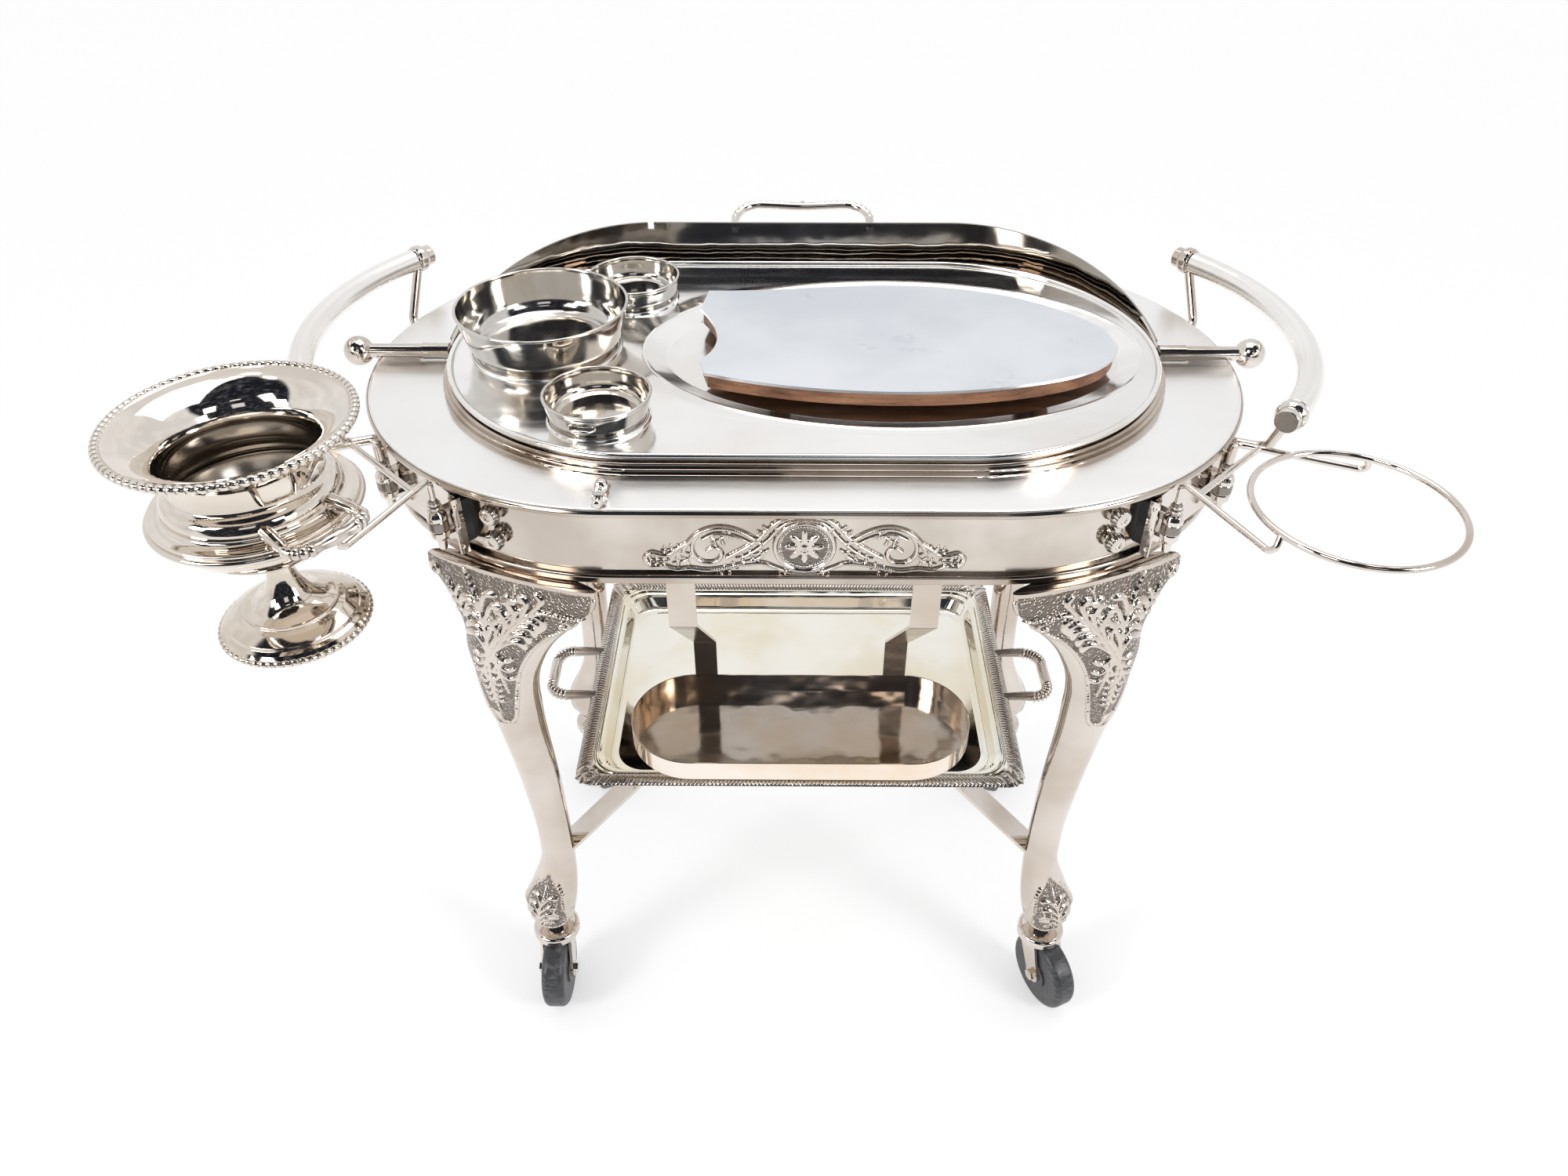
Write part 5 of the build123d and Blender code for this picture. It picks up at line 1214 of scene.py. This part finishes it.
def bail():
    """The dome's handle: a thick bar that dips at its middle, with a leafy crest along its outer side, a
    bud on top and a turned foot at each end."""
    hinge = np.array([0, 0, 855.0])
    lean, tilt = radians(10), radians(18)
    root = hinge + DOME_RADIUS * np.array([0, cos(lean), sin(lean)])
    rise = np.array([0, cos(tilt), sin(tilt)])
    flat = np.array([0, sin(tilt), -cos(tilt)])
    line = resampled(bent([(-80, 0.5, 0), (-80, 43, 0), (80, 43, 0), (80, 0.5, 0)], 30, 40)[:, :2], 420)
    run = measured(line)
    spot = np.linspace(0, run[-1], 420)
    x, high = (np.interp(spot, run, line[:, i]) for i in (0, 1))
    high = high - 3.2 * np.exp(-((x / 34) ** 2)) * (high > 30)
    path = root + x[:, None] * np.array([1.0, 0, 0]) + high[:, None] * rise
    ring = tube(path, 4.5, flat, 24)
    crest = np.clip(np.cos(circle(24)), 0, 1) ** 0.7
    share = np.abs(spot / spot[-1] - 0.5) * 2
    lobe = np.abs(np.sin(share * pi * 15 + 0.5)) ** 0.8
    leafy = np.clip(share * 9 - 0.6, 0, 1) * np.clip((0.93 - share) * 8, 0, 1)
    split = np.abs(np.sin(1.5 * circle(24) + pi / 4))
    tall = (2.1 * leafy * lobe)[:, None] * crest * (0.55 + 0.45 * split)
    away = ring[1:-1] - path[:, None]
    ring[1:-1] = path[:, None] + away * (1 + tall / 4.5)[..., None]
    # Painted shade between the crest's lobes.
    dark = 0.75 * (leafy * np.clip(0.75 - lobe, 0, 1))[:, None] * crest
    shape = Shape()
    shape.grid(ring, (False, True), np.pad(dark, ((1, 1), (0, 0))))
    for where in (-9.0, 0.0, 9.0):
        size = 3.1 if where == 0 else 2.0
        bud = rounded([(0, -1), (size, -1), (size, 1.5 * size, 1.9), (0, 2.2 * size, 0.5)], 8)
        base = root + np.array([where, 0, 0]) + (43 - 3.2 * np.exp(-((where / 34) ** 2)) + 2.6) * rise
        shape.grid(turned(bud, base, rise, 16), (False, True))
    foot = rounded([
        (0, -0.6), (7, -0.6), (7, 1.0, 0.9), (5.6, 1.6, 0.5), (6.2, 3.2, 0.9), (4.6, 4.4, 0.8), (0, 4.6),
    ], 6)
    out = np.array([0, cos(lean), sin(lean)])
    for side in (-1, 1):
        seat = hinge + DOME_RADIUS * out + np.array([side * 80.0, 0, 0])
        shape.grid(turned(foot, seat, out, 28), (False, True))
    shape.piece("dome_bail", "lid", "fitting", ("lid_handle",), "bright_plate")


def latch():
    """The catch: a plate, a grooved block, turned beads with a ball near the collar, and the bolt, which
    runs through all of them."""
    x, axis = -180.0, 853.0
    shape = Shape()
    # Painted shade: the plate is evenly darkened, the block slightly.
    shape.grid(block((x, -255, 845.9), (6.5, 17, 0.95), 0.8), (False, True), 0.35)
    shape.grid(block((x, -255.5, 847.1), (5.4, 15.4, 0.5), 0.8), (False, True), 0.1)
    turn = circle(48)
    square = 1 / np.maximum(np.abs(np.cos(turn)), np.abs(np.sin(turn)))
    # The grooves round the block get painted shade.
    rows, dark = [], []
    for inset, y in (
        (None, -264.8), (0.5, -264.8), (0, -265.3), (0, -267.0), (0.5, -267.3), (0, -267.6), (0, -269.2),
        (0.5, -269.5), (0, -269.8), (0, -271.3), (0.5, -271.8), (None, -271.8),
    ):
        reach = np.minimum(square, 1.3) * (5.3 - inset) if inset is not None else 2.66 + 0 * turn
        height = axis - 1.2 * (inset is not None) + reach * np.sin(turn)
        rows.append(np.stack([x + reach * np.cos(turn), y + 0 * turn, height], -1))
        dark.append(0.5 if inset == 0.5 else 0.0)
    shape.grid(np.stack(rows), (True, True), np.array(dark)[:, None])
    beads = rounded([
        (2.66, 0.2), (4.6, 0.2, 0.5), (4.6, 1.6, 0.6), (3.2, 2.2, 0.4), (4.9, 3.4, 1.2), (4.9, 5.0, 1.2),
        (3.3, 6.2, 0.5), (4.3, 7.0, 0.5), (4.3, 8.0, 0.5), (3.3, 8.8, 0.5), (3.4, 9.6), (6.2, 11.6, 3),
        (6.2, 18.4, 4.2), (3.6, 20.9, 2), (2.66, 21.0),
    ], 7)
    # Painted shade on the beads' narrow waists.
    tone = 0.6 * np.clip((3.9 - beads[:, 0]) / 0.7, 0, 1)
    shape.grid(turned(beads, (x, -264.8, axis), (0, 1, 0)), (True, True), tone[:, None])
    shape.piece("latch_housing", "chassis", "fitting", ("latch_keep",), "bright_plate")

    bolt = rounded([
        (0, 0), (2.1, 0, 0.4), (2.6, 0.7, 0.3), (2.6, 36.0), (3.4, 36.4, 0.3), (3.4, 37, 0.3),
        (2.4, 37.4, 0.3), (4.3, 38.6, 1.6), (4.3, 40.6, 2.0), (0, 42.3, 0.6),
    ], 7)
    shape = Shape()
    shape.grid(turned(bolt, (x, -239.9, axis), (0, -1, 0)), (False, True))
    shape.piece("latch_pin", "latch", "fitting", ("latch_bolt",), "bright_plate")


def corner_point(side, out, along, z):
    """A point at a front corner: a distance out over the corner and one along it."""
    half = cos(pi / 4)
    x = side * (PLAN_STRAIGHT + half * (out + along))
    return np.stack(np.broadcast_arrays(x, half * (along - out), z), -1)


BARREL = [
    (3.1, 823.8), (4.0, 824, 0.3), (4.3, 821.6, 0.4), (5.9, 821.2, 0.5), (5.9, 819.8, 0.5),
    (4.4, 819.2, 0.3), (4.4, 817.8, 0.3), (6.9, 817.2, 0.5), (6.9, 815.8, 0.5), (4.9, 815.2, 0.3),
    (4.9, 813.4, 0.4), (7.6, 811.6, 1.2), (9.5, 807.6, 2), (9.5, 804.0, 0.8), (8.5, 803, 0.3),
    (9.3, 802, 0.5), (9.4, 793.2, 0.6), (8.3, 792.2, 0.3), (9.0, 790.8, 0.8), (9.0, 785.6, 1.8),
    (7.0, 781.8, 1.2), (4.7, 781, 0.4), (4.7, 779.8), (4.3, 773), (3.4, 769.4, 1.6), (0, 768.2, 0.5),
]


PIN_OUT = 280.0
PIN_APART = 47.0


def barrels(name, side):
    """Turned sockets for a ring's two pins: discs, a swelling barrel with a band, and a tapered finial;
    a web joins each to its bracket, whose turned-in ends carry three rivets."""
    profile = rounded(BARREL, 6)
    # Painted shade: on the narrow necks above the band, over the band, inside the sockets and on the webs.
    shade = 0.7 * np.clip((5.6 - profile[:, 0]) / 0.8, 0, 1) * (profile[:, 1] > 784)
    shade += 0.75 * (np.abs(profile[:, 1] - 797.6) < 4.6)
    inside = [(0, 780.5), (3.1, 780.5), (3.1, 823.8)]
    shape = Shape()
    for end in (-1, 1):
        axis = corner_point(side, PIN_OUT, end * PIN_APART, 0)
        shape.grid(turned(profile, axis, (0, 0, 1), 44), (False, True), shade[:, None])
        shape.grid(turned(inside, axis, (0, 0, 1), 44), (False, True), 0.6)
        height = np.linspace(784, 812, 15)
        half = 1.6 + 2.6 * np.abs(np.linspace(-1, 1, 15)) ** 2
        out = np.array([268.8, 273, 275])[:, None]
        faces = [corner_point(side, out, end * PIN_APART + way * half, height) for way in (-1, 1)]
        shape.slab(faces[0], faces[1], 0.55, 0.0)
        for z in (779.5, 802.0, 824.5):
            rivet = rounded([(0, 0), (2.0, 0), (1.9, 0.9, 0.6), (0, 1.5, 0.3)], 6)
            seat = corner_point(side, 271.6, end * 72, z)
            way = corner_point(side, 0, end, 0) - corner_point(side, 0, 0, 0)
            shape.grid(turned(rivet, seat, way, 16), (False, True))
    shape.piece(name, "chassis", "fitting", ("pin_" + name,), "bright_plate")


HANDLE_END = [
    (0, -0.6), (12.6, -0.6), (13.6, 0.9, 0.9), (12.5, 2.2, 0.5), (13.0, 3.0, 0.4), (14.5, 4.4, 1.2),
    (14.5, 10.4, 3.4), (12.2, 13.4, 1.2), (11.6, 14.0, 0.4), (11.1, 14.8, 0.4), (11.1, 22.0, 1.0),
    (10.2, 22.9, 0.3), (0, 22.9),
]


HANDLE_SEAT = (449.0, 170.0, 883.0)


def handle_ends():
    """Turned end fittings of the push handles: a bead, a swelling sleeve and a plain stub."""
    bow = np.arctan2(HANDLE_SEAT[1], 220.1)
    profile = rounded(HANDLE_END, 7)
    # Painted shade in the two grooves and on the stub's end face.
    dark = 0.8 * (np.abs(profile[:, 1] - 14.2) < 0.5) + 0.8 * (np.abs(profile[:, 1] - 2.3) < 0.3)
    dark += 0.92 * ((profile[:, 1] > 22.5) & (profile[:, 0] < 10.6))
    shape = Shape()
    for side in (-1, 1):
        for front in (-1, 1):
            way = (-side * sin(bow), front * cos(bow), 0)
            seat = (side * HANDLE_SEAT[0], front * HANDLE_SEAT[1], HANDLE_SEAT[2])
            shape.grid(turned(profile, seat, way, 56), (False, True), dark.clip(0, 1)[:, None])
    shape.piece("handle_ends", "chassis", "fitting", ("handle_fittings",), "handle_plate")


def deck_bead():
    """A half-round moulding under the deck's edge, with a fine groove above it."""
    profile = rounded([
        (274, 844.0), (276.6, 843.9, 0.4), (277.2, 842.9), (278.6, 841.6, 1.6), (278.6, 838.4, 1.9),
        (276.4, 836.7, 1.2), (271, 836.4), (271, 840), (274, 844.0),
    ], 6)
    shade = 0.5 * np.clip((profile[:, 1] - 842.6) / 0.6, 0, 1)
    shape = Shape()
    shape.grid(carried(profile, PLAN_STRAIGHT, (0.0, 0.0), 240), (False, True), shade[:, None])
    shape.piece("deck_bead", "chassis", "band", (), "deck_plate")


deck_bead()
bail()
latch()
barrels("barrels_left", -1)
barrels("barrels_right", 1)
handle_ends()


# ---- Finishes of the plain pieces ----
plain = {
    "deck": ("deck_flange",),
    "band": ("well_collar", "skirt_rim"),
    "bright": (
        "stretchers", "trunnion_pins", "trunnion_cradles",
        "bracket_left", "bracket_right", "bracket_screws", "lid_screws", "lid_ear_left",
        "lid_ear_right", "handle_arms", "ring_frame_left", "ring_frame_right",
    ),
    "handle": ("push_handle_left", "push_handle_right"),
    "dome": ("lid_shell",),
    "skirt": ("body_skirt",),
    "strap": ("pan_hangers",),
    "bath": ("water_bath",),
    "pan": ("burner_pan",),
    "board": ("board_plate",),
    "wood": ("board_wood",),
    "rubber": ("bracket_pads",),
}
corners = ("front_left", "front_right", "rear_left", "rear_right")
plain["bright"] += tuple(f"caster_{piece}_{corner}" for piece in ("fork", "axle") for corner in corners)
plain["tyre"] = tuple(f"caster_wheel_{corner}" for corner in corners)
for finish, nodes in plain.items():
    for node in nodes:
        for material_slot in frame["nodes"][node].material_slots:
            material_slot.material = finishes[finish]
